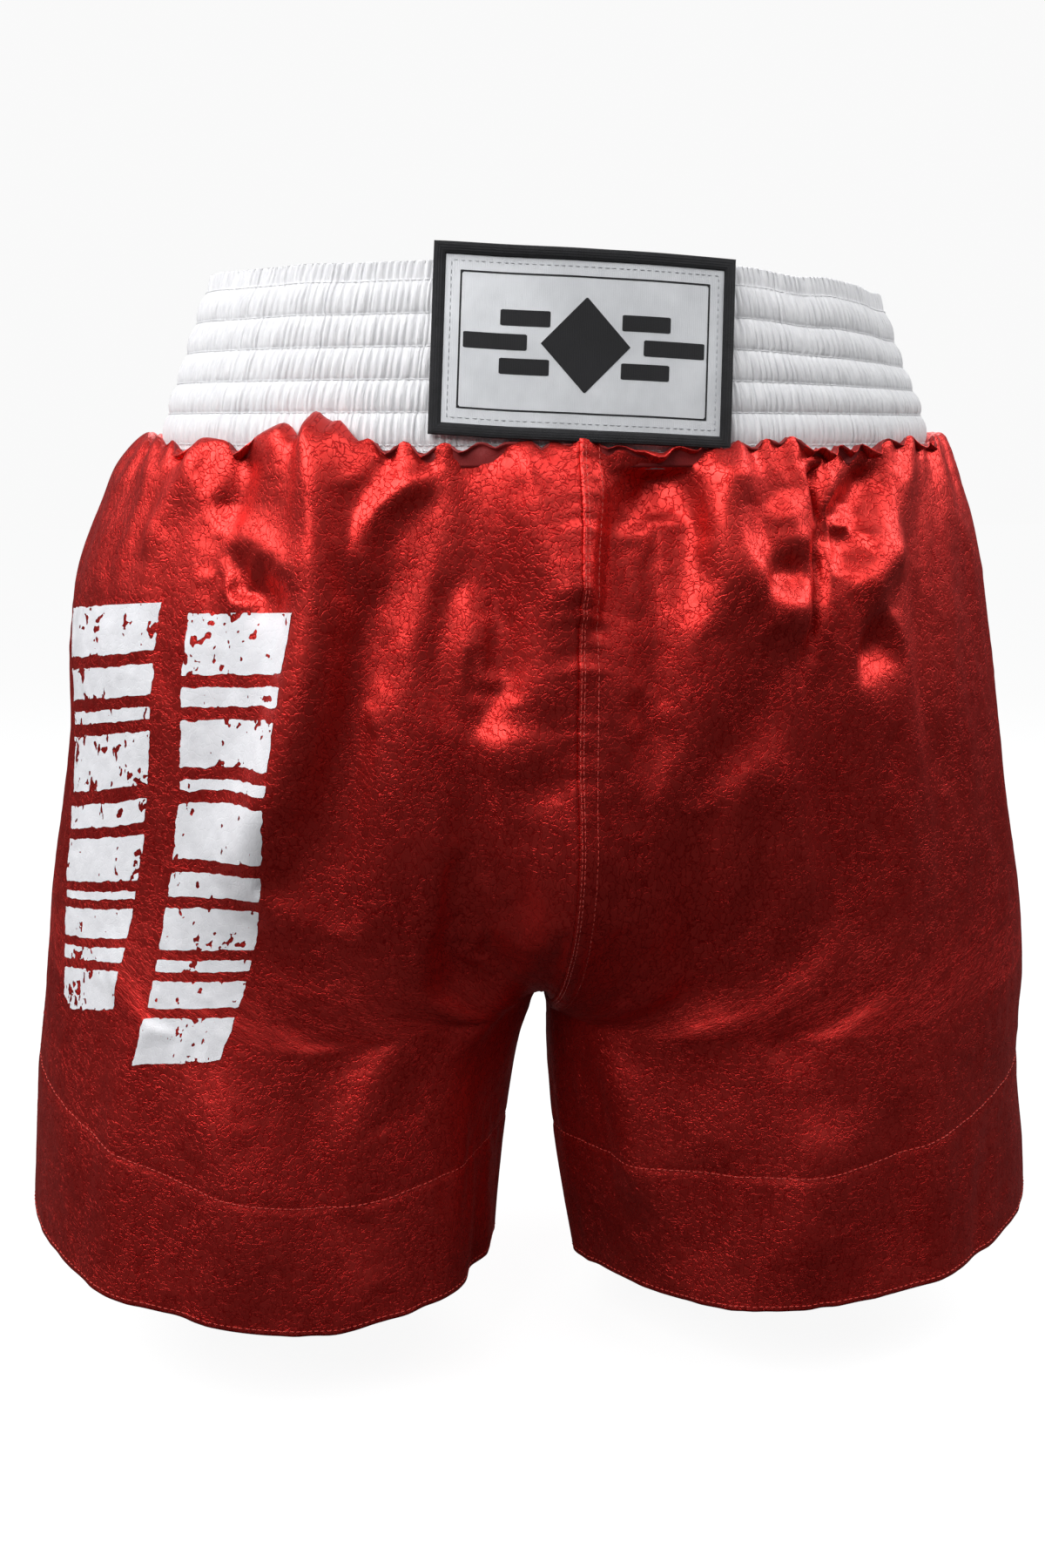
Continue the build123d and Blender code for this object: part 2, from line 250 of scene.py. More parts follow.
# Each fold is (height, half width, sharpness, points): a ridge where the height is positive, a
# valley where it is negative, in millimetres along points (x, z) on the front.
FRONT_FOLDS = [
    (19, 18, 0, [(-114, -84), (-113, -114), (-116, -153), (-122, -192), (-136, -232), (-158, -270),
                 (-178, -300)]),
    (-17, 21, 0, [(-62, -100), (-53, -130), (-45, -175), (-43, -231), (-42, -300), (-46, -350)]),
    (6, 7, 0, [(-72, -95), (-86, -104), (-92, -118), (-88, -150)]),
    (2.5, 8, 0, [(-90, -160), (-89, -190), (-88, -240), (-88, -290)]),
    (-5, 11, 0, [(-168, -136), (-148, -142), (-130, -152), (-120, -158)]),
    (5, 10, 0, [(-166, -114), (-146, -122), (-126, -136), (-118, -144)]),
    (5, 9, 0, [(-176, -90), (-188, -107), (-202, -134)]),
    (-5, 9, 0, [(-150, -92), (-156, -104), (-166, -114)]),
    (10, 15, 0, [(-20, -90), (-14, -113), (-4, -140), (4, -165)]),
    (-12, 15, 0, [(40, -88), (36, -102), (34, -129), (34, -160), (34, -195), (34, -260)]),
    (13, 15, 0, [(66, -94), (64, -112), (70, -130), (84, -144), (98, -158), (104, -180)]),
    (-8, 9, 0, [(78, -136), (92, -138), (104, -132)]),
    (5, 10, 0, [(92, -100), (96, -118), (100, -134)]),
    (-10, 6.5, 1, [(112, -82), (111, -115), (110, -146), (106, -192)]),
    (-11, 12, 0, [(142, -98), (132, -116), (120, -128), (114, -134)]),
    (9, 14, 0, [(124, -150), (142, -134), (164, -122)]),
    (-8, 12, 0, [(154, -164), (142, -172), (130, -170)]),
    (5, 12, 0, [(-41, -180), (-37, -231), (-35, -285)]),
    (-5, 16, 0, [(-16, -182), (-12, -220), (-14, -250)]),
    (6, 15, 0, [(84, -200), (98, -235), (113, -279), (104, -322)]),
    (-6, 15, 0, [(50, -230), (60, -270), (64, -320), (66, -370)]),
    (4, 9, 0, [(74, -215), (76, -260), (76, -310)]),
    (4, 14, 0, [(8, -352), (30, -340), (58, -322), (92, -305)]),
    (7, 13, 0, [(-56, -404), (-42, -372), (-30, -340), (-22, -322)]),
    (-6, 14, 0, [(-20, -300), (-44, -322), (-64, -350)]),
    (3, 16, 0, [(70, -345), (92, -352), (112, -338), (136, -318), (152, -306)]),
    (-3, 15, 0, [(96, -382), (124, -366), (150, -346), (172, -330)]),
    (7, 15, 0, [(24, -370), (36, -400), (42, -440), (44, -480)]),
    (5, 14, 0, [(-4, -205), (-30, -214), (-54, -210)]),
    (3, 10, 0, [(-200, -300), (-215, -360), (-222, -430), (-228, -505)]),
    (-5, 16, 0, [(-130, -330), (-122, -400), (-112, -470), (-108, -512)]),
    (5, 20, 0, [(-176, -380), (-164, -450), (-156, -512)]),
    (-4, 14, 0, [(170, -400), (172, -460), (176, -512)]),
    (5, 18, 0, [(132, -400), (124, -460), (122, -512)]),
    (-4, 14, 0, [(76, -420), (72, -470), (70, -512)]),
]
BACK_FOLDS = [
    (8, 20, 0, [(-120, -90), (-124, -140), (-134, -200), (-150, -270)]),
    (-9, 18, 0, [(-80, -92), (-78, -150), (-70, -210), (-66, -290)]),
    (7, 18, 0, [(-38, -92), (-34, -140), (-22, -200)]),
    (-7, 12, 0, [(18, -92), (24, -140), (20, -200), (16, -250)]),
    (8, 20, 0, [(64, -90), (72, -140), (88, -200), (110, -270)]),
    (-8, 14, 0, [(112, -90), (122, -140), (132, -190)]),
    (6, 16, 0, [(150, -92), (160, -150), (172, -220)]),
    (-5, 14, 0, [(-160, -96), (-172, -160), (-186, -240)]),
    (6, 16, 0, [(-16, -350), (-50, -330), (-92, -300)]),
    (6, 16, 0, [(14, -352), (52, -328), (100, -296)]),
    (-5, 16, 0, [(-30, -390), (-70, -372), (-110, -340)]),
    (-5, 16, 0, [(34, -392), (76, -370), (118, -336)]),
    (5, 18, 0, [(-170, -330), (-176, -410), (-180, -505)]),
    (5, 18, 0, [(164, -330), (170, -410), (176, -505)]),
    (-4, 16, 0, [(-110, -410), (-112, -505)]),
    (-4, 16, 0, [(104, -410), (108, -505)]),
]
# Short valleys that run down from the gathered edge: (x, length, depth, half width, lean).
FRONT_GATHERS = [(-150, 20, 4, 4, -3), (-122, 34, 10, 5, -4), (-98, 14, 4, 3.5, 1), (-84, 26, 8, 4.5, -2),
                 (-69, 24, 8, 4.5, 3), (-52, 30, 6, 4, 3), (-36, 13, 4, 3.5, 0), (-17, 22, 7, 4, 2),
                 (-6, 15, 5, 3, 1), (12, 14, 4, 3.5, 2), (36, 30, 7, 5, -6), (52, 16, 4, 4, -2),
                 (66, 12, 5, 3.5, 1), (79, 20, 6, 4, 3), (93, 12, 4, 3, 0), (109, 24, 8, 4, -1),
                 (118, 20, 8, 4, 3), (131, 14, 6, 3.5, 0), (144, 22, 8, 4, -2), (160, 16, 5, 4, 3),
                 (-177, 26, 5, 5, -5), (178, 22, 5, 5, 4)]


def smooth_line(points, count=24):
    """Points of a soft curve through a few given ones."""
    p = np.array(points, float)
    u = np.concatenate([[0], np.cumsum(np.linalg.norm(np.diff(p, axis=0), axis=1))])
    fine = np.linspace(0, u[-1], count)
    slopes = np.gradient(p, u, axis=0) if len(p) > 2 else np.repeat((p[1:] - p[:1]) / u[-1], 2, 0)
    i = np.clip(np.searchsorted(u, fine) - 1, 0, len(p) - 2)
    step = (u[i + 1] - u[i])[:, None]
    s = (fine - u[i])[:, None] / step
    return (p[i] * (1 + 2 * s) * (1 - s) ** 2 + p[i + 1] * s * s * (3 - 2 * s)
            + step * (slopes[i] * s * (1 - s) ** 2 + slopes[i + 1] * s * s * (s - 1)))


def fold_height(s, h, fold, to_cloth):
    """Height that one fold adds at cloth places (s, h), all in metres."""
    height, width, sharp, points = fold
    line = smooth_line([to_cloth(x * MM, z * MM) for x, z in points])
    best = np.full(s.shape, 1e9)
    along = np.zeros(s.shape)
    total = len(line) - 1
    for k in range(total):
        a, b = line[k], line[k + 1]
        d = b - a
        q = np.clip(((s - a[0]) * d[0] + (h - a[1]) * d[1]) / (d @ d), 0, 1)
        gap = np.hypot(s - a[0] - q * d[0], h - a[1] - q * d[1])
        near = gap < best
        best = np.where(near, gap, best)
        along = np.where(near, (k + q) / total, along)
    start = 1.0 if points[0][1] > -100 else 0.0
    taper = mix(ease(along / 0.3), 1, start) * ease((1 - along) / 0.35)
    reach = best / (width * MM)
    shape = 1 / (1 + 2.5 * reach ** 2) ** 2 if sharp else np.exp(-reach ** 2)
    return height * MM * shape * taper


def random_gathers(seed, skip):
    """Short valleys all round, where none is listed."""
    source = np.random.default_rng(seed)
    out, x = [], -0.300
    while x < 0.300:
        x += source.uniform(0.010, 0.021)
        values = source.uniform([12, 3, 3, -4], [34, 8, 5, 4])
        if all(abs(x / MM - other) > 9 for other in skip):
            out.append((x / MM, *values))
    return out


# The waistband's outline, (height, size) in millimetres.
BAND_HALF_WIDTH = [(0, 168), (-20, 175), (-40, 182), (-60, 189.5), (-86, 195)]
BAND_HALF_DEPTH = [(0, 113), (-40, 121), (-86, 129)]


def outside_band(points):
    """Keeps the cloth that lies over the waistband's lower edge outside the waistband."""
    x, y, z = np.moveaxis(points, -1, 0)
    margin = 0.0016
    reach = np.hypot(x / (outline(BAND_HALF_WIDTH, z) + margin), y / (outline(BAND_HALF_DEPTH, z) + margin))
    near = ease((z - BAND_BOTTOM + 0.008) / 0.006)
    grow = mix(1, np.maximum(1 / reach, 1), near)
    return np.stack([x * grow, y * grow, z], -1)


def add_folds(side, face, points):
    """Moves a quarter's grid along its normals by every fold that reaches it."""
    normals = grid_normals(points) * outward(side, face)
    s = cloth_distance(points) * side
    h = np.broadcast_to(ROWS[:, None], s.shape)

    def to_cloth(x, z):
        if x * side < 0:
            return x, z
        j = int(np.argmin(np.abs(ROWS - z)))
        order = np.argsort(points[j, :, 0])
        return np.interp(x, points[j, order, 0], s[j, order]), z

    height = np.zeros(s.shape)
    for fold in FRONT_FOLDS if face == FRONT else BACK_FOLDS:
        if np.sign(fold[3][0][0]) == side or abs(fold[3][0][0]) < 60:
            height += fold_height(s, h, fold, to_cloth)

    placed = FRONT_GATHERS if face == FRONT else []
    near = SEAM_H - 0.020
    hand = [(to_cloth(x * MM, near)[0] / MM, *rest) for x, *rest in placed]
    gathers = hand + random_gathers(11 if face == FRONT else 23, [g[0] for g in placed])
    below = SEAM_H - h
    lift = np.zeros(s.shape)
    for where, length, depth, width, lean in gathers:
        reach = (length + 24) * MM
        run = np.clip(below / reach, 0, 1)
        centre = (where + lean * run) * MM
        spread = width * MM * (0.8 + 1.1 * run)
        valley = np.exp(-((s - centre) / spread) ** 2)
        height -= depth * MM * valley * ease(below / 0.010) * (1 - ease(run))
        lift -= 0.3 * depth * MM * valley * ease(below / 0.006) * ease(1 - (below - 0.014) / 0.02)
    height += 0.0022 * wander(s, 0.020, 5 + face) * ease(below / 0.012) * ease(1 - (below - 0.05) / 0.06)
    lift += 0.0016 * wander(s, 0.034, 9 + face) * ease(below / 0.006) * ease(1 - (below - 0.014) / 0.02)

    # Front and back meet at the side seam, so their own folds fade out there, and the gathered
    # edge itself is sewn to the waistband.
    width = s[:, :1]
    fade = ease((np.abs(width) - np.abs(s)) / 0.030) * ease(below / 0.009)
    points = points + normals * (height * fade)[..., None]
    points[..., 2] += lift * fade
    return outside_band(points)


# ---------------------------------------------------------------- the garment as one net

def weld(grids):
    """One net from the four quarters: vertex numbers for each grid, and the positions."""
    rows, columns = len(ROWS), COLUMNS + 1
    numbers = {q: np.arange(rows * columns).reshape(rows, columns) + k * rows * columns
               for k, q in enumerate(QUARTERS)}
    above_crotch = ROWS >= CROTCH + 1e-6
    above_vent = ROWS > VENT_TOP
    for side in (RIGHT, LEFT):
        numbers[side, BACK][above_vent, 0] = numbers[side, FRONT][above_vent, 0]
        numbers[side, BACK][~above_crotch, -1] = numbers[side, FRONT][~above_crotch, -1]
    for face in (FRONT, BACK):
        numbers[LEFT, face][above_crotch, -1] = numbers[RIGHT, face][above_crotch, -1]
    crotch_row = int(np.argmax(~above_crotch)) - 1
    for q in QUARTERS:
        numbers[q][crotch_row, -1] = numbers[RIGHT, FRONT][crotch_row, -1]
    total = rows * columns * 4
    sums, counts = np.zeros((total, 3)), np.zeros(total)
    for q in QUARTERS:
        np.add.at(sums, numbers[q].ravel(), grids[q].reshape(-1, 3))
        np.add.at(counts, numbers[q].ravel(), 1)
    used = counts > 0
    renumber = np.cumsum(used) - 1
    points = sums[used] / counts[used][:, None]
    return {q: renumber[n] for q, n in numbers.items()}, points


CLOTH = {"quality": 7, "mass": 0.01, "air_damping": 2.0, "tension_stiffness": 18,
         "compression_stiffness": 14, "shear_stiffness": 8, "bending_stiffness": 10, "tension_damping": 8,
         "compression_damping": 8, "shear_damping": 8, "bending_damping": 1, "shrink_min": -0.004,
         "pin_stiffness": 1.0}
HANG_FRAMES = 24
FORM_INSET = 0.009       # the body's form, inside the cloth's worn shape


def simulate(numbers, points, form):
    """Lets the cloth hang from its gathered edge over the body's form, and gives its new places."""
    faces = []
    for side, face in QUARTERS:
        n = numbers[side, face]
        quads = np.stack([n[:-1, :-1], n[:-1, 1:], n[1:, 1:], n[1:, :-1]], -1).reshape(-1, 4)
        faces += list(quads[:, ::outward(side, face)])
    cloth = new_mesh("cloth_net", points, faces)
    pinned = cloth.vertex_groups.new(name="pinned")
    for weight, rows in ((1.0, slice(0, 2)), (0.7, slice(2, 4)), (0.3, slice(4, 6))):
        held = np.unique(np.concatenate([numbers[q][rows].ravel() for q in QUARTERS]))
        pinned.add([int(i) for i in held], weight, "REPLACE")
    form.modifiers.new("body", "COLLISION")
    form.collision.thickness_outer = 0.002
    form.collision.cloth_friction = 12
    hanging = cloth.modifiers.new("cloth", "CLOTH")
    for name, value in CLOTH.items():
        setattr(hanging.settings, name, value)
    hanging.settings.vertex_group_mass = "pinned"
    hanging.collision_settings.collision_quality = 2
    hanging.collision_settings.distance_min = 0.003
    hanging.collision_settings.use_self_collision = False
    hanging.point_cache.frame_start = 1
    hanging.point_cache.frame_end = HANG_FRAMES
    scene = bpy.context.scene
    scene.frame_start, scene.frame_end = 1, HANG_FRAMES
    for f in range(1, HANG_FRAMES + 1):
        scene.frame_set(f)
    depsgraph = bpy.context.evaluated_depsgraph_get()
    result = cloth.evaluated_get(depsgraph)
    out = np.empty(len(points) * 3)
    result.data.vertices.foreach_get("co", out)
    for obj in (cloth, form):
        bpy.data.objects.remove(obj, do_unlink=True)
    scene.frame_set(1)
    return out.reshape(-1, 3)


def make_form():
    """The hips and thighs that fill the shorts while the cloth hangs; not kept."""
    points, faces = [], []
    keep = ROWS < -0.112
    for side, face in QUARTERS:
        grid = worn_grid(side, face)
        normals = grid_normals(grid) * outward(side, face)
        inner = (grid - normals * FORM_INSET)[keep][::2, ::2]
        quads = grid_faces(*inner.shape[:2], flip=side * face > 0) + len(points)
        faces += list(quads)
        points += list(inner.reshape(-1, 3))
    return new_mesh("body_form", points, faces)


def hang_cloth():
    grids = {q: add_folds(*q, worn_grid(*q)) for q in QUARTERS}
    numbers, points = weld(grids)
    points = simulate(numbers, points, make_form())
    return {q: points[numbers[q]] for q in QUARTERS}


cloth = hang_cloth()


# ---------------------------------------------------------------- fine cloth surfaces

def upsample(grid, factor, axis):
    """Grid with factor times as many steps along an axis, on a smooth curve through the old points."""
    g = np.moveaxis(grid, axis, 0)
    count = len(g)
    u = np.linspace(0, count - 1, (count - 1) * factor + 1)
    i = np.minimum(u.astype(int), count - 2)
    s = (u - i).reshape(-1, *[1] * (g.ndim - 1))
    before, after = g[np.maximum(i - 1, 0)], g[np.minimum(i + 2, count - 1)]
    a, b = g[i], g[i + 1]
    out = 0.5 * (2 * a + (b - before) * s + (2 * before - 5 * a + 4 * b - after) * s ** 2
                 + (3 * a - before - 3 * b + after) * s ** 3)
    return np.moveaxis(out, 0, axis)


FINE_ACROSS, FINE_DOWN = 2, 3
FELL_WIDTH = 0.0095      # the flat-felled centre seam, on the wearer's left
SATIN_THICK = 0.0006
PIECE_GAP = 0.0002       # between the satin's inner side and what is sewn to it


FACING_DIP = {RIGHT: 0.019, LEFT: 0.012}     # how the facing's line falls from the vent to the front


def facing_line(side, t):
    return FACING_ROW - FACING_DIP[side] * ease(t / 0.55)


class Quarter:
    """Fine surface of one quarter, sampled by cloth place: s from the middle seam, h nominal height."""

    def __init__(self, side, face, coarse):
        self.side, self.face = side, face
        self.outward = outward(side, face)
        self.points = upsample(upsample(coarse, FINE_DOWN, 0), FINE_ACROSS, 1)
        self.rows = upsample(ROWS, FINE_DOWN, 0)
        self.widths = upsample(cloth_distance(worn_grid(side, face))[:, 0], FINE_DOWN, 0)
        share = np.linspace(1, 0, self.points.shape[1])
        self.s = self.widths[:, None] * share[None, :]
        self.h = np.broadcast_to(self.rows[:, None], self.s.shape)
        self.normals = grid_normals(self.points) * self.outward
        self.detail()

    def detail(self):
        """Small relief that the net is too coarse for: the seams' puckers and faint creases."""
        s, h = self.s, self.h
        down = np.clip((SEAM_H - 0.018 - h) / 0.02, 0, 1)
        strip = 0.004 if self.side == LEFT else 0.0
        near = np.exp(-((s - strip) / 0.009) ** 2) * down * (h > CROTCH)
        tight = mix(0.0010, 0.0004, ease((-0.11 - h) / 0.16))
        pucker = tight * near * wander(h + 0.15 * s, 0.0038, 31 + self.face)
        fell = 0
        if self.side == LEFT:
            fell = 0.0004 * ease((FELL_WIDTH - s) / 0.001) * (h > CROTCH)
        line = facing_line(self.side, 1 - s / self.widths[:, None])
        facing = -0.0004 * np.exp(-((h - line) / 0.002) ** 2) + 0.0003 * ease((line - h) / 0.002)
        hem = 0.0005 * wander(s, 0.009, 41) * np.exp((HEM - h) / 0.008)
        crease = 0.0003 * wander(s + 0.35 * h, 0.017, 51) * wander(h, 0.023, 52)
        self.points = self.points + self.normals * (pucker + fell + facing + hem + crease)[..., None]
        self.normals = grid_normals(self.points) * self.outward

    def width(self, h):
        """Distance from the middle seam to the side seam along the cloth at a nominal height."""
        return np.interp(-h, -self.rows, self.widths)

    def at(self, s, h, lift=0.0):
        """Positions and normals at cloth places, lifted off the cloth."""
        s, h = np.broadcast_arrays(np.asarray(s, float), np.asarray(h, float))
        j = np.interp(-h, -self.rows, np.arange(len(self.rows)))
        width = np.interp(j, np.arange(len(self.rows)), self.widths)
        i = np.clip((1 - s / width), 0, 1) * (self.points.shape[1] - 1)
        j0 = np.minimum(j.astype(int), self.points.shape[0] - 2)
        i0 = np.minimum(i.astype(int), self.points.shape[1] - 2)
        fj, fi = (j - j0)[..., None], (i - i0)[..., None]

        def sample(g):
            return mix(mix(g[j0, i0], g[j0, i0 + 1], fi), mix(g[j0 + 1, i0], g[j0 + 1, i0 + 1], fi), fj)

        normal = sample(self.normals)
        normal /= np.linalg.norm(normal, axis=-1, keepdims=True)
        return sample(self.points) + normal * np.asarray(lift)[..., None], normal


quarters = {q: Quarter(*q, cloth[q]) for q in QUARTERS}


# ---------------------------------------------------------------- materials

class Nodes:
    """Short way to write a node material."""

    def __init__(self, name):
        self.material = bpy.data.materials.new(name)
        self.material.use_nodes = True
        self.tree = self.material.node_tree
        self.shader = self.tree.nodes["Principled BSDF"]

    def add(self, kind, **settings):
        node = self.tree.nodes.new("ShaderNode" + kind)
        for key, value in settings.items():
            if key.startswith("in_"):
                node.inputs[key[3:].replace("_", " ")].default_value = value
            else:
                setattr(node, key, value)
        return node

    def link(self, a, b):
        self.tree.links.new(a, b)

    def set(self, **values):
        for key, value in values.items():
            self.shader.inputs[key.replace("_", " ")].default_value = value

    def cloth_mm(self, scale=(1, 1)):
        """The cloth's own coordinates in millimetres, times a scale."""
        uv = self.add("UVMap", uv_map="cloth")
        m = self.add("Mapping")
        m.inputs["Scale"].default_value = (scale[0] / MM, scale[1] / MM, 1)
        self.link(uv.outputs["UV"], m.inputs["Vector"])
        return m.outputs["Vector"]

    def math(self, operation, a, b=None, clamp=False):
        node = self.add("Math", operation=operation, use_clamp=clamp)
        for socket, value in zip(node.inputs, (a, b)):
            if value is None:
                continue
            if isinstance(value, (int, float)):
                socket.default_value = value
            else:
                self.link(value, socket)
        return node.outputs[0]

    def noise(self, vector, scale, detail=2.0, roughness=0.5):
        node = self.add("TexNoise", in_Scale=scale, in_Detail=detail, in_Roughness=roughness)
        self.link(vector, node.inputs["Vector"])
        return node

    def ramp(self, value, low, high, out_low, out_high, smooth=False):
        node = self.add("MapRange")
        node.interpolation_type = "SMOOTHSTEP" if smooth else "LINEAR"
        for key, v in zip(("From Min", "From Max", "To Min", "To Max"), (low, high, out_low, out_high)):
            node.inputs[key].default_value = v
        self.link(value, node.inputs["Value"])
        return node.outputs["Result"]

    def blend(self, share, a, b):
        """Colour between two colours."""
        node = self.add("Mix", data_type="RGBA")
        self.link(share, node.inputs["Factor"])
        node.inputs[6].default_value = (*a, 1)
        node.inputs[7].default_value = (*b, 1)
        return node.outputs[2]

    def bump(self, height, distance, strength=1.0, normal=None):
        node = self.add("Bump", in_Strength=strength, in_Distance=distance)
        self.link(height, node.inputs["Height"])
        if normal is not None:
            self.link(normal, node.inputs["Normal"])
        return node.outputs["Normal"]


def satin(name, reverse=False):
    """Red satin with an embossed crackle: small cells, brightest where the cloth turns to the light. Its
    colour holds painted shade along the cells' grooves and a painted glint of random strength on each cell.
    """
    n = Nodes(name)
    plain = n.cloth_mm()
    drift = n.noise(plain, 0.16, 2.0)
    centred = n.add("VectorMath", operation="SUBTRACT")
    n.link(drift.outputs["Color"], centred.inputs[0])
    centred.inputs[1].default_value = (0.5, 0.5, 0.5)
    scaled = n.add("VectorMath", operation="SCALE")
    n.link(centred.outputs[0], scaled.inputs[0])
    scaled.inputs["Scale"].default_value = 7.0
    moved = n.add("VectorMath", operation="ADD")
    n.link(plain, moved.inputs[0])
    n.link(scaled.outputs[0], moved.inputs[1])
    cells = n.add("Mapping")
    cells.inputs["Rotation"].default_value = (0, 0, radians(24))
    cells.inputs["Scale"].default_value = (0.29, 0.175, 1)
    n.link(moved.outputs[0], cells.inputs["Vector"])
    edge = n.add("TexVoronoi", feature="DISTANCE_TO_EDGE", in_Scale=1.0)
    dome = n.add("TexVoronoi", feature="F1", in_Scale=1.0)
    for node in (edge, dome):
        n.link(cells.outputs[0], node.inputs["Vector"])
    groove = n.ramp(edge.outputs["Distance"], 0.01, 0.085, 0, 1, True)
    round_top = n.ramp(dome.outputs["Distance"], 0.0, 0.75, 1, 0, True)
    patchy = n.ramp(n.noise(plain, 0.045, 3.0).outputs["Fac"], 0.35, 0.65, 0.45, 1.0, True)
    relief = n.math("MULTIPLY", n.math("ADD", n.math("MULTIPLY", groove, 0.8),
                                       n.math("MULTIPLY", round_top, 0.35)), patchy)
    weave = n.noise(n.cloth_mm((5.0, 0.7)), 1.0, 3.0)
    wrinkle = n.noise(n.cloth_mm((0.09, 0.05)), 1.0, 4.0, 0.55)
    coarse = n.bump(wrinkle.outputs["Fac"], 0.0018, 0.35)
    fine = n.bump(relief, 0.00016, 0.3 if reverse else 1.0, coarse)
    normal = n.bump(weave.outputs["Fac"], 0.00003, 0.5, fine)
    n.link(normal, n.shader.inputs["Normal"])
    tone = n.ramp(n.noise(plain, 0.02, 3.0).outputs["Fac"], 0.3, 0.7, 0, 1)
    if reverse:
        colour = n.blend(tone, (0.20, 0.008, 0.008), (0.27, 0.012, 0.012))
        n.set(Metallic=0.1, Anisotropic=0.0)
        rough = n.ramp(groove, 0, 1, 0.75, 0.62)
    else:
        # Painted light in the base colour: the grooves are painted darker as shade, and each cell gets a
        # random painted glint; the tone part is the dye's own random unevenness.
        own = n.add("SeparateColor")
        n.link(dome.outputs["Color"], own.inputs[0])
        share = n.math("ADD", n.math("MULTIPLY", tone, 0.25), n.math("MULTIPLY", groove, 0.47))
        share = n.math("ADD", share, n.math("MULTIPLY", n.math("MULTIPLY", own.outputs[0], groove), 0.28))
        colour = n.blend(share, (0.36, 0.007, 0.007), (0.78, 0.052, 0.043))
        n.set(Metallic=0.92, Anisotropic=0.3)
        rough = n.ramp(groove, 0, 1, 0.55, 0.42)
    n.set(Sheen_Weight=0.04, Sheen_Roughness=0.35, Sheen_Tint=(1.0, 0.25, 0.2, 1), Specular_IOR_Level=0.5)
    n.link(colour, n.shader.inputs["Base Color"])
    n.link(rough, n.shader.inputs["Roughness"])
    return n.material


def shirring():
    """White polyester plain weave, with the fine creases that the gathers press in, and painted shade in
    their hollows.
    """
    n = Nodes("white_shirring")
    weave = n.noise(n.cloth_mm((2.2, 2.2)), 1.0, 2.0)
    creases = n.noise(n.cloth_mm((0.9, 0.10)), 1.0, 4.0, 0.6)
    crease = n.bump(creases.outputs["Fac"], 0.0011, 0.75)
    n.link(n.bump(weave.outputs["Fac"], 0.00012, 0.5, crease), n.shader.inputs["Normal"])
    # Painted shade: the colour follows the creases' relief, darker in their hollows and lighter on their
    # tops.
    soft = n.ramp(creases.outputs["Fac"], 0.3, 0.7, 0, 1)
    n.link(n.blend(soft, (0.67, 0.67, 0.695), (0.80, 0.80, 0.81)), n.shader.inputs["Base Color"])
    n.link(n.ramp(weave.outputs["Fac"], 0.3, 0.7, 0.7, 0.85), n.shader.inputs["Roughness"])
    n.set(Sheen_Weight=0.15, Sheen_Roughness=0.5, Specular_IOR_Level=0.3)
    return n.material


def woven(name, dark, light, threads=(1.6, 3.2), rough=0.55, metallic=0.0, sheen=0.2, mottling=0.02,
          relief=0.00015, strength=0.6):
    """Dense woven cloth: rows of threads, slightly uneven in tone, with painted shade between the threads.
    """
    n = Nodes(name)
    over = n.add("TexWave", wave_type="BANDS", bands_direction="X", in_Scale=threads[0],
                 in_Distortion=0.4, in_Detail=1.0)
    under = n.add("TexWave", wave_type="BANDS", bands_direction="Y", in_Scale=threads[1],
                  in_Distortion=0.4, in_Detail=1.0)
    place = n.cloth_mm((0.314, 0.314))
    for node in (over, under):
        n.link(place, node.inputs["Vector"])
    height = n.math("MULTIPLY", over.outputs["Fac"], under.outputs["Fac"])
    n.link(n.bump(height, relief, strength), n.shader.inputs["Normal"])
    patches = n.noise(n.cloth_mm(), mottling, 3.0, 0.6)
    # Besides the random mottling, the colour holds painted shade: lighter on the threads' raised parts,
    # darker between them.
    share = n.math("ADD", n.ramp(patches.outputs["Fac"], 0.3, 0.7, 0, 0.7), n.math("MULTIPLY", height, 0.3))
    n.link(n.blend(share, dark, light), n.shader.inputs["Base Color"])
    n.link(n.ramp(height, 0, 1, rough + 0.1, rough), n.shader.inputs["Roughness"])
    n.set(Metallic=metallic, Sheen_Weight=sheen, Sheen_Roughness=0.4, Specular_IOR_Level=0.4)
    return n.material


def ink():
    """Thin rubbery print; the cloth's crackle shows faintly through it."""
    n = Nodes("white_ink")
    place = n.cloth_mm((0.44, 0.27))
    edge = n.add("TexVoronoi", feature="DISTANCE_TO_EDGE", in_Scale=1.0)
    n.link(place, edge.inputs["Vector"])
    n.link(n.bump(n.ramp(edge.outputs["Distance"], 0, 0.1, 0, 1, True), 0.00008, 0.5),
           n.shader.inputs["Normal"])
    dirt = n.noise(n.cloth_mm(), 0.12, 4.0, 0.6)
    n.link(n.blend(n.ramp(dirt.outputs["Fac"], 0.3, 0.7, 0, 1), (0.72, 0.72, 0.75), (0.82, 0.82, 0.85)),
           n.shader.inputs["Base Color"])
    n.link(n.ramp(dirt.outputs["Fac"], 0.3, 0.7, 0.42, 0.55), n.shader.inputs["Roughness"])
    n.set(Specular_IOR_Level=0.4)
    return n.material


def thread(name, dark, light):
    """Twisted sewing thread, with painted shade in the twist's grooves and painted highlight on its ridges.
    """
    n = Nodes(name)
    twist = n.add("TexWave", wave_type="BANDS", bands_direction="DIAGONAL", in_Scale=1.0)
    n.link(n.cloth_mm((1.2, 1.2)), twist.inputs["Vector"])
    n.link(n.bump(twist.outputs["Fac"], 0.00006, 0.6), n.shader.inputs["Normal"])
    # Painted shade and highlight: the colour is darker in the twist's grooves and lighter on its ridges.
    n.link(n.blend(twist.outputs["Fac"], dark, light), n.shader.inputs["Base Color"])
    n.link(n.ramp(twist.outputs["Fac"], 0, 1, 0.65, 0.5), n.shader.inputs["Roughness"])
    n.set(Sheen_Weight=0.2, Sheen_Roughness=0.4)
    return n.material


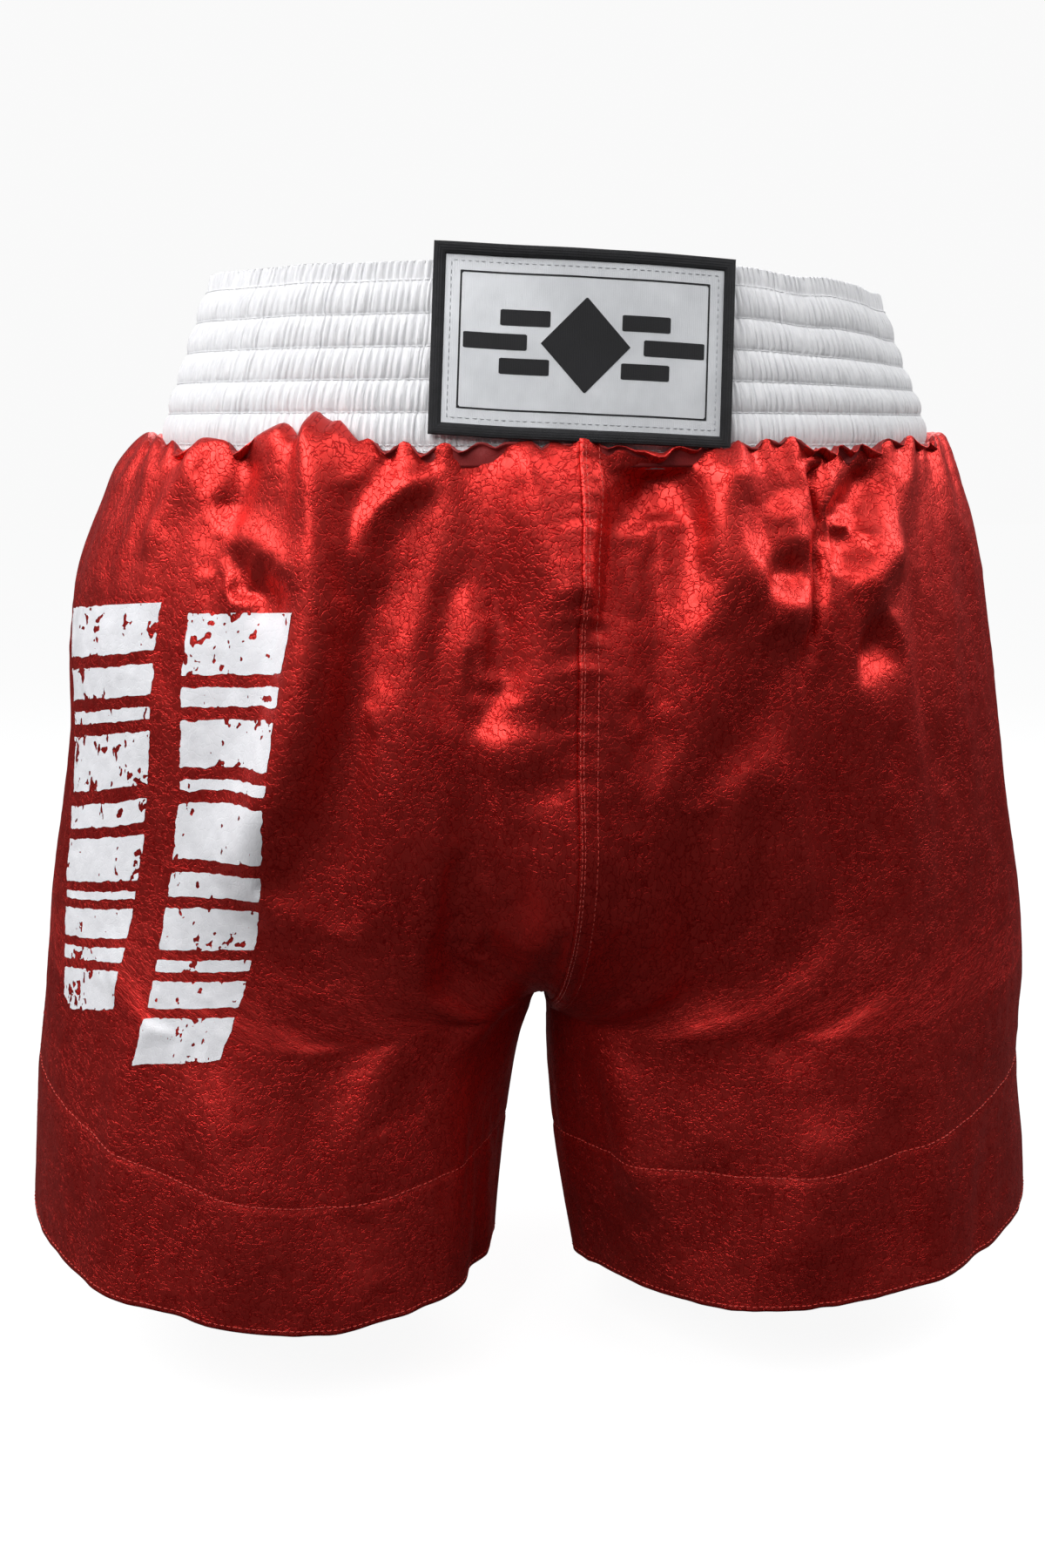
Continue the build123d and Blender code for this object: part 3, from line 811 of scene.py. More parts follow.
SATIN = satin("red_satin")
SATIN_REVERSE = satin("red_satin_reverse", reverse=True)
SHIRRING = shirring()
LABEL = woven("silver_label", (0.50, 0.51, 0.53), (0.68, 0.69, 0.71), (1.4, 2.6), 0.42, 0.25, 0.1, 0.03)
BLACK = woven("black_weave", (0.005, 0.005, 0.006), (0.012, 0.012, 0.014), (1.3, 2.6), 0.72, 0.0, 0.03)
BORDER = woven("black_border", (0.005, 0.005, 0.006), (0.016, 0.016, 0.019), (1.7, 0.9), 0.7, 0.0, 0.03,
               0.2, 0.0003, 0.9)
BACKING = woven("white_backing", (0.74, 0.74, 0.76), (0.86, 0.86, 0.87), (1.2, 1.2), 0.8)
TAPE = woven("care_tape", (0.76, 0.76, 0.78), (0.86, 0.86, 0.88), (1.0, 3.0), 0.5)
ELASTIC = woven("elastic_tape", (0.66, 0.66, 0.64), (0.82, 0.82, 0.80), (0.6, 0.9), 0.8, 0, 0.3, 0.1,
                0.0004)
INK = ink()
RED_THREAD = thread("red_thread", (0.45, 0.030, 0.022), (0.80, 0.10, 0.07))
WHITE_THREAD = thread("white_thread", (0.70, 0.70, 0.72), (0.88, 0.88, 0.89))
GREY_THREAD = thread("grey_thread", (0.30, 0.31, 0.33), (0.46, 0.47, 0.50))


# ---------------------------------------------------------------- satin panels and hem facings


def make_panels():
    for (side, face), q in quarters.items():
        name = f"{FACE_NAME[face]}_{SIDE_NAME[side]}"
        rows, columns = q.s.shape
        uvs = np.stack([q.s * side, q.h], -1).reshape(-1, 2)
        quads = grid_faces(rows, columns, flip=q.outward < 0)
        panel = new_mesh(f"{name}_satin", q.points.reshape(-1, 3), quads, uvs)
        finish_piece(panel, SATIN, "red_satin", f"{name}_panel")
        panel.data.materials.append(SATIN_REVERSE)
        thicken(panel, SATIN_THICK, 1)

        t, v = np.meshgrid(np.linspace(0.02, 0.99, 110), np.linspace(0, 1, 40))
        h = mix(facing_line(side, t) + 0.002, HEM + 0.0006, v)
        width = q.width(h)
        s = (1 - t) * width
        inner = q.at(s, h, -SATIN_THICK - PIECE_GAP)[0]
        facing = new_mesh(f"{name}_facing", inner.reshape(-1, 3),
                          grid_faces(*inner.shape[:2], flip=q.outward < 0),
                          np.stack([s, h], -1).reshape(-1, 2))
        finish_piece(facing, SATIN_REVERSE, "red_satin", f"{name}_hem_facing")
        thicken(facing, SATIN_THICK, 0)
        area = mesh_area(q.points)


def thicken(obj, thickness, reverse_slot):
    """Gives a sheet its thickness on the inside, with the reverse's material there."""
    m = obj.modifiers.new("thickness", "SOLIDIFY")
    m.thickness = thickness
    m.offset = -1
    m.material_offset = reverse_slot
    m.use_even_offset = False
    apply_modifiers(obj)


def mesh_area(grid):
    a = grid[1:, :-1] - grid[:-1, :-1]
    b = grid[:-1, 1:] - grid[:-1, :-1]
    return float(np.linalg.norm(np.cross(a, b), axis=-1).sum())


make_panels()


# ---------------------------------------------------------------- stitches

STITCH_PITCH = 0.0031
STITCH_LENGTH = 0.0025
THREAD_RADIUS = 0.00021
PATH_STEP = 0.001


def stitches(name, paths, material, slot, *nodes, pitch=STITCH_PITCH, length=STITCH_LENGTH,
             radius=THREAD_RADIUS, seed=3):
    """One piece with a short arched stitch at every pitch along each path of (positions, normals)."""
    source = np.random.default_rng(seed)
    vertices, faces, uvs = [], [], []
    sections, sides = 5, 6
    for positions, normals in paths:
        run = np.concatenate([[0], np.cumsum(np.linalg.norm(np.diff(positions, axis=0), axis=1))])
        count = int(run[-1] / pitch)
        starts = (np.arange(count) + 0.15) * pitch + source.uniform(-0.1, 0.1, count) * pitch
        u = starts[:, None] + np.linspace(0, length, sections)[None, :]
        centre = np.stack([np.interp(u, run, positions[:, k]) for k in range(3)], -1)
        up = np.stack([np.interp(u, run, normals[:, k]) for k in range(3)], -1)
        up /= np.linalg.norm(up, axis=-1, keepdims=True)
        ahead = np.gradient(centre, axis=1)
        ahead /= np.maximum(np.linalg.norm(ahead, axis=-1, keepdims=True), 1e-12)
        beside = np.cross(up, ahead)
        arch = np.sin(np.linspace(0, pi, sections))[None, :, None]
        centre = centre + up * (radius * (-0.7 + 1.3 * arch))
        thick = radius * (0.55 + 0.45 * arch)
        for a in np.arange(sides) * 2 * pi / sides:
            ring = centre + (up * sin(a) + beside * cos(a)) * thick
            vertices.append(ring.reshape(-1, 3))
            uvs.append(np.stack([u + a * radius, u * 0 + a * radius], -1).reshape(-1, 2))
        block = count * sections
        base = sum(len(v) for v in vertices) - sides * block
        first = (np.arange(count) * sections)[:, None] + np.arange(sections - 1)[None, :]
        for k in range(sides):
            m, p = base + k * block + first, base + ((k + 1) % sides) * block + first
            faces.append(np.stack([m, m + 1, p + 1, p], -1).reshape(-1, 4))
        for end in (0, sections - 1):
            cap = base + np.arange(sides)[None, :] * block + (np.arange(count) * sections + end)[:, None]
            faces.append(cap[:, ::-1] if end == 0 else cap)
    all_faces = [f for group in faces for f in group]
    obj = new_mesh(name, np.concatenate(vertices), all_faces, np.concatenate(uvs))
    return finish_piece(obj, material, slot, *nodes)


def path_down(q, s, top, bottom, lift=0.0):
    """Line down a quarter at a distance from the middle seam."""
    h = np.linspace(top, bottom, max(int((top - bottom) / PATH_STEP), 4))
    return q.at(s, h, lift)


def path_across(q, height):
    """Line across a quarter; height is one nominal height or a function of t."""
    t = np.linspace(0.01, 0.99, 320)
    h = height(t) if callable(height) else np.full(t.shape, height)
    return q.at((1 - t) * q.width(h), h)


def side_path(q, inset, top, bottom, lift=0.0):
    """Line down a quarter at a distance from the side seam."""
    h = np.linspace(top, bottom, max(int((top - bottom) / PATH_STEP), 4))
    return q.at(q.width(h) - inset, h, lift)


EDGE_STITCH = 0.0025
SEAM_TOP = SEAM_H - 0.012


def make_stitches():
    inside = -SATIN_THICK - PIECE_GAP
    for (side, face), q in quarters.items():
        name = f"{FACE_NAME[face]}_{SIDE_NAME[side]}"
        stitches(f"{name}_facing_stitches", [path_across(q, lambda t: facing_line(q.side, t))],
                 RED_THREAD, "red_thread", f"{name}_facing_thread", seed=60)
        stitches(f"{name}_hem_stitches",
                 [path_across(q, HEM + EDGE_STITCH), side_path(q, EDGE_STITCH, VENT_TOP, HEM + 0.004)],
                 RED_THREAD, "red_thread", f"{name}_hem_threads", seed=61)
    for side in (RIGHT, LEFT):
        pair = [quarters[side, FRONT], quarters[side, BACK]]
        stitches(f"{SIDE_NAME[side]}_side_seam_stitches",
                 [side_path(q, 0.004, SEAM_TOP, VENT_TOP + 0.002, inside) for q in pair],
                 RED_THREAD, "red_thread", f"{SIDE_NAME[side]}_side_seam_threads", seed=62)
        stitches(f"{SIDE_NAME[side]}_inseam_stitches",
                 [path_down(q, 0.004, CROTCH - 0.004, FACING_ROW + 0.003, inside) for q in pair],
                 RED_THREAD, "red_thread", f"{SIDE_NAME[side]}_inseam_threads", seed=63)
        front = quarters[side, FRONT]
        bar = [side_path(front, 0.0035 - 0.0009 * k, VENT_TOP + 0.0035, VENT_TOP - 0.0005) for k in range(4)]
        stitches(f"{SIDE_NAME[side]}_vent_bartack_stitches", bar, RED_THREAD, "red_thread",
                 f"{SIDE_NAME[side]}_vent_bartack", pitch=0.0034, length=0.0032, radius=0.0003, seed=64)
    for face in (FRONT, BACK):
        q = quarters[LEFT, face]
        stitches(f"{FACE_NAME[face]}_rise_stitches",
                 [path_down(q, s, SEAM_TOP - 0.004, CROTCH + 0.006) for s in (0.0012, 0.0028, 0.0090)],
                 RED_THREAD, "red_thread", f"{FACE_NAME[face]}_rise_threads", seed=65)


make_stitches()


# ---------------------------------------------------------------- shapes cut out of a surface

def inlay(name, size, cell, signed, surface, material, slot, *nodes):
    """Piece made of the part of a rectangle where signed(p, q) is below zero, laid on a surface.

    size is (width, height) in metres; p and q run from minus to plus half of it."""
    columns, rows = (int(round(v / cell)) + 1 for v in size)
    p = np.linspace(-size[0] / 2, size[0] / 2, columns)
    q = np.linspace(-size[1] / 2, size[1] / 2, rows)
    p, q = np.meshgrid(p, q)
    value = signed(p, q)
    value = np.where(np.abs(value) < 1e-6, 1e-6, value)
    places, index, faces = [], {}, []

    def corner(j, i):
        key = (j, i)
        if key not in index:
            index[key] = len(places)
            places.append((p[j, i], q[j, i]))
        return index[key]

    def crossing(a, b):
        key = (a, b) if a < b else (b, a)
        if key not in index:
            va, vb = value[a], value[b]
            share = va / (va - vb)
            index[key] = len(places)
            places.append((mix(p[a], p[b], share), mix(q[a], q[b], share)))
        return index[key]

    inside = value < 0
    touched = inside[:-1, :-1] | inside[1:, :-1] | inside[:-1, 1:] | inside[1:, 1:]
    for j, i in np.argwhere(touched):
        ring = [(j, i), (j, i + 1), (j + 1, i + 1), (j + 1, i)]
        face = []
        for a, b in zip(ring, ring[1:] + ring[:1]):
            if inside[a]:
                face.append(corner(*a))
            if inside[a] != inside[b]:
                face.append(crossing(a, b))
        if len(face) > 2:
            faces.append(face)
    places = np.array(places)
    points = surface(places[:, 0], places[:, 1])
    return finish_piece(new_mesh(name, points, faces, places), material, slot, *nodes)


def box_distance(p, q, cx, cy, half_p, half_q):
    """Distance outside a rectangle, negative inside."""
    dp, dq = np.abs(p - cx) - half_p, np.abs(q - cy) - half_q
    return np.maximum(dp, dq)


def grain(p, q, pitch, seed, octaves=4):
    """Seeded fractal noise from about -1 to 1."""
    flat_p, flat_q = np.ravel(p) / pitch, np.ravel(q) / pitch
    values = [noise.fractal(Vector((a + seed * 17.3, b - seed * 9.1, seed * 3.7)), 1.0, 2.0, octaves)
              for a, b in zip(flat_p, flat_q)]
    return np.reshape(values, np.shape(p))


# ---------------------------------------------------------------- waistband

CHANNEL_TOP = -0.008
CHANNEL_PITCH = 0.0144
CHANNELS = 5
ELASTIC_WIDTH = 0.0124
ELASTIC_THICK = 0.0012
ELASTIC_DEEP = 0.0022    # the elastic's middle, inside the band's smooth outer surface
ROW_DEEP = 0.0002        # the sewn rows' thread, inside it too
BAND_DEPTH = 0.0036
HEADING_ROWS = (0.0, -0.0006, -0.0016, -0.0032, -0.0050, -0.0068)
CHANNEL_ROWS = (0.0, 0.055, 0.15, 0.32, 0.5, 0.68, 0.85, 0.945)
INNER_ROWS = (-0.0010, -0.004, -0.008, -0.012, -0.020, -0.030, -0.042, -0.054, -0.066, -0.074, -0.080)
EDGE_ROWS = (0.006, 0.004, 0.001, -0.0045)
RUFFLES = 266
PER_RUFFLE = 6
SIDE_DROOP = 0.009       # the band's wearer's-left top edge hangs this much lower


def band_ring(angle, h, lift=0.0):
    """Point of the band's smooth outer surface at an angle from the wearer's right, through the front."""
    half_width, half_depth = outline(BAND_HALF_WIDTH, h), outline(BAND_HALF_DEPTH, h)
    nx, ny = np.cos(angle) / half_width, np.sin(angle) / half_depth
    size = np.hypot(nx, ny)
    x = -half_width * np.cos(angle) - nx / size * lift
    y = -half_depth * np.sin(angle) - ny / size * lift
    droop = SIDE_DROOP * ease((x - 0.04) / 0.16) * ease((h + 0.075) / 0.06)
    wave = 0.0011 * wander(angle, 0.16, 71) * ease((h + 0.05) / 0.05)
    return np.stack([x, y, h - droop + wave + 0 * x], -1)


def band_angles():
    """Angle of every ruffle's edge, evenly spread along the front arc and slightly irregular."""
    dense = np.linspace(0, 2 * pi, 4001)
    arc = band_ring(dense, np.full(dense.shape, -0.043))
    run = np.concatenate([[0], np.cumsum(np.linalg.norm(np.diff(arc, axis=0), axis=1))])
    source = np.random.default_rng(72)
    k = np.arange(RUFFLES) + source.uniform(-0.34, 0.34, RUFFLES)
    edges = np.append(k, k[0] + RUFFLES)
    share = np.arange(PER_RUFFLE) / PER_RUFFLE
    places = (edges[:-1, None] + np.diff(edges)[:, None] * share[None, :]).ravel() / RUFFLES * run[-1]
    return places, run, dense


def channel_mix(table, h):
    """Value between the channels' own values at each height: steady inside a channel."""
    v = (CHANNEL_TOP - h) / CHANNEL_PITCH + 0.5
    i = np.clip(np.floor(v).astype(int), 0, CHANNELS)
    share = ease((v - i - 0.5) / 0.36 + 0.5)
    return mix(table[i], table[i + 1], share[:, None])


def band_surface():
    """Grid of outer points, top row first, with a cusp between every two ruffles."""
    places, run, dense = band_angles()
    source = np.random.default_rng(73)
    channels = [CHANNEL_TOP - CHANNEL_PITCH * (c + f) for c in range(CHANNELS) for f in CHANNEL_ROWS]
    h = np.concatenate([HEADING_ROWS, channels, BAND_BOTTOM + np.array(EDGE_ROWS)])
    sizes = source.uniform(0.35, 1.0, (CHANNELS + 3, RUFFLES)) ** 1.2
    common = source.uniform(0.5, 1.0, RUFFLES)
    sizes = np.repeat(0.55 * sizes + 0.45 * common, PER_RUFFLE, axis=1)
    shifts = np.stack([wander(places, 0.013, 80 + c) + 0.6 * wander(places, 0.007, 90 + c)
                       for c in range(CHANNELS + 3)]) * 0.0011
    slide = channel_mix(shifts, h)
    angle = np.interp((places[None, :] + slide) % run[-1], run, dense)
    amplitude = channel_mix(sizes, h)
    into = (CHANNEL_TOP - h) / CHANNEL_PITCH
    inside = (into > 0) & (into < CHANNELS)
    bulge = np.where(inside, np.abs(np.sin(into * pi)) ** 0.65, 0.0)
    heading = ease((h - CHANNEL_TOP) / 0.004)
    ridge = np.tile(np.sin(pi * np.arange(PER_RUFFLE) / PER_RUFFLE) ** 0.75, RUFFLES)
    crease = 0.00022 * wander(places, 0.0013, 99)[None, :] * wander(h, 0.004, 98)[:, None]
    tall = 0.0005 + 0.0011 * np.maximum(bulge, 0.8 * heading)
    lift = (0.0013 * bulge[:, None] + tall[:, None] * amplitude * ridge[None, :] + crease - 0.0010)
    points = band_ring(angle, h[:, None], lift)
    ruffled_edge = 0.0008 * (amplitude[:1] * ridge[None, :] - 0.4) * np.exp(-(h[0] - h) / 0.003)[:, None]
    points[..., 2] += ruffled_edge
    return points, h, np.broadcast_to(places, angle.shape)


def make_waistband():
    outer, h, places = band_surface()
    below = np.array(INNER_ROWS)
    angle = np.arctan2(-outer[0, :, 1] / 0.113, -outer[0, :, 0] / 0.168)
    ripple = np.tile(np.sin(pi * np.arange(PER_RUFFLE) / PER_RUFFLE) ** 0.75, RUFFLES)
    depth = BAND_DEPTH * ease(-below / 0.009) + 0.0006
    inner = band_ring(angle[None, :], below[:, None], -depth[:, None] - 0.0007 * ripple[None, :])
    top = mix(outer[0], band_ring(angle, np.zeros(angle.shape), -0.0009), 0.5)
    top[:, 2] += 0.0004
    grid = np.concatenate([inner[::-1], top[None, :], outer])
    down = 0.09 + np.concatenate([below[::-1], [0.0], -h])
    uvs = np.stack([np.broadcast_to(places[0], grid.shape[:2]),
                    np.broadcast_to(down[:, None], grid.shape[:2])], -1)
    faces = grid_faces(*grid.shape[:2], closed=True, flip=True)
    band = new_mesh("waistband_shirring", grid.reshape(-1, 3), faces, uvs.reshape(-1, 2))
    finish_piece(band, SHIRRING, "white_waistband", "waistband_casing")

    for c in range(CHANNELS):
        middle = CHANNEL_TOP - (c + 0.5) * CHANNEL_PITCH
        turn = np.linspace(0, 2 * pi, 240, endpoint=False)
        across = ((0.5, 0.5), (0.5, -0.5), (-0.5, -0.5), (-0.5, 0.5))
        ring = [band_ring(turn, np.full(turn.shape, middle + a * ELASTIC_WIDTH),
                          b * ELASTIC_THICK - ELASTIC_DEEP) for a, b in across]
        loop = np.stack(ring + ring[:1])
        length = np.linalg.norm(np.diff(ring[0], axis=0), axis=1).sum()
        uv = np.stack([np.broadcast_to(turn / (2 * pi) * length, loop.shape[:2]),
                       np.broadcast_to(np.array([0, 0.001, 0.0134, 0.0144, 0.0288])[:, None],
                                       loop.shape[:2])], -1)
        elastic = new_mesh(f"elastic_{c + 1}", loop.reshape(-1, 3),
                           grid_faces(5, 240, closed=True, flip=True), uv.reshape(-1, 2))
        finish_piece(elastic, ELASTIC, "elastic", f"waist_elastic_{c + 1}")

    turn = np.linspace(0, 2 * pi, 2400)

    def sewn_row(height):
        level = np.full(turn.shape, height)
        path = band_ring(turn, level, -ROW_DEEP)
        return path, path - band_ring(turn, level, -ROW_DEEP - 0.010)

    stitches("waistband_row_stitches",
             [sewn_row(CHANNEL_TOP - i * CHANNEL_PITCH) for i in range(CHANNELS + 1)],
             WHITE_THREAD, "white_thread", "waistband_channel_threads", seed=74)
    stitches("waistband_joining_stitches", [sewn_row(BAND_BOTTOM + 0.0035)],
             WHITE_THREAD, "white_thread", "waistband_joining_thread", seed=75)


make_waistband()


# ---------------------------------------------------------------- label

PATCH = (0.136, 0.084)
PATCH_CENTRE = (0.0035, -0.037)
PATCH_ROLL = radians(3)
PATCH_PROUD = 0.0028       # the label's back, in front of the band's own surface
BORDER_WIDTH = 0.0055
BORDER_HIGH = 0.0012
BORDER_RIB = 0.0014
FACE_LIFT = 0.0014
EMBLEM_LIFT = 0.00152
EMBLEM_SIZE = (0.118, 0.066)
LABEL_STITCH = 0.008


def patch_point(p, q, lift):
    """Point over the band's front for a place on the label, p to the wearer's left and q up."""
    x = PATCH_CENTRE[0] + p * cos(PATCH_ROLL) + q * sin(PATCH_ROLL)
    z = PATCH_CENTRE[1] - p * sin(PATCH_ROLL) + q * cos(PATCH_ROLL)
    half_width, half_depth = outline(BAND_HALF_WIDTH, z), outline(BAND_HALF_DEPTH, z)
    y = -half_depth * np.sqrt(np.maximum(1 - (x / half_width) ** 2, 0))
    wavy = 0.0007 * wander(p, 0.030, 101) * ease(-(q + 0.010) / 0.03) + 0.0004 * wander(p + q, 0.04, 102)
    return np.stack([x, y - PATCH_PROUD - lift + wavy, z + 0.0007 * wander(p, 0.034, 103)], -1)


def border_path(inset):
    """Closed line of (p, q) around the label at an inset from its edge."""
    a, b = PATCH[0] / 2 - inset, PATCH[1] / 2 - inset
    corners = [(-a, b), (a, b), (a, -b), (-a, -b)]
    line = []
    for (p0, q0), (p1, q1) in zip(corners, corners[1:] + corners[:1]):
        steps = 190 if abs(p1 - p0) > abs(q1 - q0) else 118
        share = np.arange(steps) / steps
        line.append(np.stack([mix(p0, p1, share), mix(q0, q1, share)], -1))
    return np.concatenate(line)


def make_label():
    def flat_piece(name, inset, lift, material, slot, node, grow=(0, 0), step=0.002):
        a, b = PATCH[0] / 2 - inset, PATCH[1] / 2 - inset
        p, q = np.meshgrid(np.arange(-a, a + step / 2, step), np.arange(b, -b - step / 2, -step))
        grid = patch_point(p + grow[0], q + grow[1], lift)
        obj = new_mesh(name, grid.reshape(-1, 3), grid_faces(*p.shape, flip=True),
                       np.stack([p, q], -1).reshape(-1, 2))
        finish_piece(obj, material, slot, node)
        thicken(obj, 0.0006, 0)

    flat_piece("label_backing_cloth", 0.0008, 0.0002, BACKING, "white_backing", "label_backing",
               grow=(0.0012, -0.0012))
    flat_piece("label_face_satin", 0.0030, FACE_LIFT, LABEL, "silver_label", "label_face")

    rings, uvs, run = [], [], None
    for share, lift in ((0.0, -0.3), (0.02, 0.45), (0.14, 0.86), (0.34, 1.0), (0.56, 1.02), (0.78, 0.92),
                        (0.93, 0.62), (1.0, 0.05)):
        line = border_path(BORDER_WIDTH * share)
        if run is None:
            run = np.concatenate([[0], np.cumsum(np.linalg.norm(np.diff(line, axis=0), axis=1))])
        ribs = 0.00009 * np.cos(run / BORDER_RIB * 2 * pi) * (0 < share < 1)
        rings.append(patch_point(line[:, 0], line[:, 1], FACE_LIFT + BORDER_HIGH * lift + ribs))
        uvs.append(np.stack([run, np.full(run.shape, BORDER_WIDTH * share)], -1))
    grid = np.stack(rings)
    border = new_mesh("label_border_overlock", grid.reshape(-1, 3),
                      grid_faces(*grid.shape[:2], closed=True, flip=True), np.stack(uvs).reshape(-1, 2))
    finish_piece(border, BORDER, "black_weave", "label_border")

    def emblem(p, q):
        shape = (np.abs(p) / 0.020 + np.abs(q) / 0.021 - 1) * 0.0145
        for sign in (-1, 1):
            for level, start, length in ((0.0105, 0.016, 0.022), (-0.0105, 0.016, 0.022),
                                         (0.0, 0.026, 0.028)):
                bar = box_distance(p, q, sign * (start + length / 2), level, length / 2, 0.0035)
                shape = np.minimum(shape, bar)
        frame_line = np.abs(box_distance(p, q, 0, 0, PATCH[0] / 2 - 0.0124, PATCH[1] / 2 - 0.0124))
        return np.minimum(shape, frame_line - 0.0004)

    inlay("label_emblem_weave", EMBLEM_SIZE, 0.00075, emblem,
          lambda p, q: patch_point(p, q, EMBLEM_LIFT), BLACK, "black_weave", "label_emblem")

    line = border_path(LABEL_STITCH)
    line = np.concatenate([line, line[:1]])
    path = patch_point(line[:, 0], line[:, 1], FACE_LIFT)
    up = np.broadcast_to(np.array([0.0, -1.0, 0.0]), path.shape)
    stitches("label_edge_stitches", [(path, up)], GREY_THREAD, "grey_thread", "label_stitching",
             pitch=0.0032, length=0.0024, radius=0.00024, seed=76)


make_label()


# ---------------------------------------------------------------- leg print

# Corners of each column on the front, (x, z) in millimetres: top outer, top inner, bottom outer,
# bottom inner; then the bars' (top, height) down the column in millimetres.
PRINT_COLUMNS = [
    ([(-240, -160), (-188, -152), (-253, -385), (-226, -375)],
     [(0, 24), (30, 15), (51, 6), (63, 27), (97, 12), (115, 25), (146, 5), (157, 19), (182, 9), (197, 26)]),
    ([(-177, -155), (-126, -153), (-217, -393), (-174, -387)],
     [(0, 28), (34, 9), (49, 22), (77, 5), (88, 27), (121, 13), (140, 24), (170, 7), (183, 17), (206, 27)]),
]
PRINT_LIFT = 0.00022


def make_print():
    q = quarters[RIGHT, FRONT]

    def place(x, z):
        gap = np.hypot(q.points[..., 0] - x * MM, q.points[..., 2] - z * MM)
        j, i = np.unravel_index(np.argmin(gap), gap.shape)
        return q.widths[j] - q.s[j, i], q.h[j, i]

    for number, (corners, bars) in enumerate(PRINT_COLUMNS):
        top_out, top_in, low_out, low_in = (np.array(place(x, z)) for x, z in corners)
        width = float(np.hypot(*(top_out - top_in)) + np.hypot(*(low_out - low_in))) / 2
        height = float(np.hypot(*(top_out - low_out)) + np.hypot(*(top_in - low_in))) / 2

        def surface(p, v):
            across, down = p / width + 0.5, 0.5 - v / height
            top = mix(top_out[None, :], top_in[None, :], across[:, None])
            low = mix(low_out[None, :], low_in[None, :], across[:, None])
            from_side, h = mix(top, low, down[:, None]).T
            return q.at(q.width(h) - from_side, h, PRINT_LIFT)[0]

        def signed(p, v):
            down = height / 2 - v
            rough = 0.0009 * grain(p, v, 0.006, 5 + number, 4)
            shape = np.full(p.shape, 1.0)
            for top, tall in bars:
                middle = (top + tall / 2) * MM
                slant = 0.03 * p
                bar = box_distance(p, down + slant, 0, middle, width / 2 - 0.0012, tall / 2 * MM)
                shape = np.minimum(shape, bar)
            patches = grain(p, v, 0.05, 25 + number, 2)
            worn = grain(p, v, 0.008, 15 + number, 5) + 0.4 * patches
            specks = grain(p, 0.6 * v, 0.0034, 35 + number, 3) + 0.5 * patches
            holes = 0.0022 * np.maximum(worn - 0.66, specks - 0.58)
            return np.maximum(shape + rough, holes)

        inlay(f"leg_print_{number + 1}", (width, height), 0.0008, signed, surface, INK, "white_print",
              "leg_print")


make_print()


# ---------------------------------------------------------------- care label

def make_care_label():
    low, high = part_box("care_label")
    x0, x1, top, bottom = low[0], high[0], high[2], low[2]
    p, v = np.meshgrid(np.linspace(x0, x1, 24), np.linspace(top, bottom, 40))
    half_width, half_depth = outline(BAND_HALF_WIDTH, v), outline(BAND_HALF_DEPTH, v)
    y = half_depth * np.sqrt(1 - (p / half_width) ** 2) - BAND_DEPTH - 0.0030
    fall = (top - v) / (top - bottom)
    y -= 0.0025 * fall ** 1.5 + 0.0006 * np.sin(p / 0.008) * fall
    grid = np.stack([p, y, v], -1)
    tape = new_mesh("care_tape", grid.reshape(-1, 3), grid_faces(*p.shape, flip=False),
                    np.stack([p, v], -1).reshape(-1, 2))
    finish_piece(tape, TAPE, "care_tape", "care_label")
    thicken(tape, 0.0003, 0)


make_care_label()


# ---------------------------------------------------------------- camera, floor and light

def area_light(name, place, aim, size, power):
    data = bpy.data.lights.new(name, "AREA")
    data.shape = "RECTANGLE"
    data.size, data.size_y = size
    data.energy = power
    obj = bpy.data.objects.new(name, data)
    obj.location = place
    obj.rotation_euler = (Vector(aim) - Vector(place)).to_track_quat("-Z", "Y").to_euler()
    bpy.context.collection.objects.link(obj)


def make_floor():
    floor = new_mesh("floor", [(-8, -8, 0), (8, -8, 0), (8, 8, 0), (-8, 8, 0)], [(0, 1, 2, 3)])
    floor.location = (0, 0, HEM - 0.045)
    n = Nodes("pale_floor")
    seen = n.add("LightPath")
    n.link(n.blend(seen.outputs["Is Camera Ray"], (0.06, 0.06, 0.06), (0.14, 0.14, 0.14)),
           n.shader.inputs["Base Color"])
    n.set(Roughness=0.9, Specular_IOR_Level=0.0, Emission_Color=(1, 1, 1, 1))
    n.link(n.math("MULTIPLY", seen.outputs["Is Camera Ray"], 0.92), n.shader.inputs["Emission Strength"])
    floor.data.materials.append(n.material)


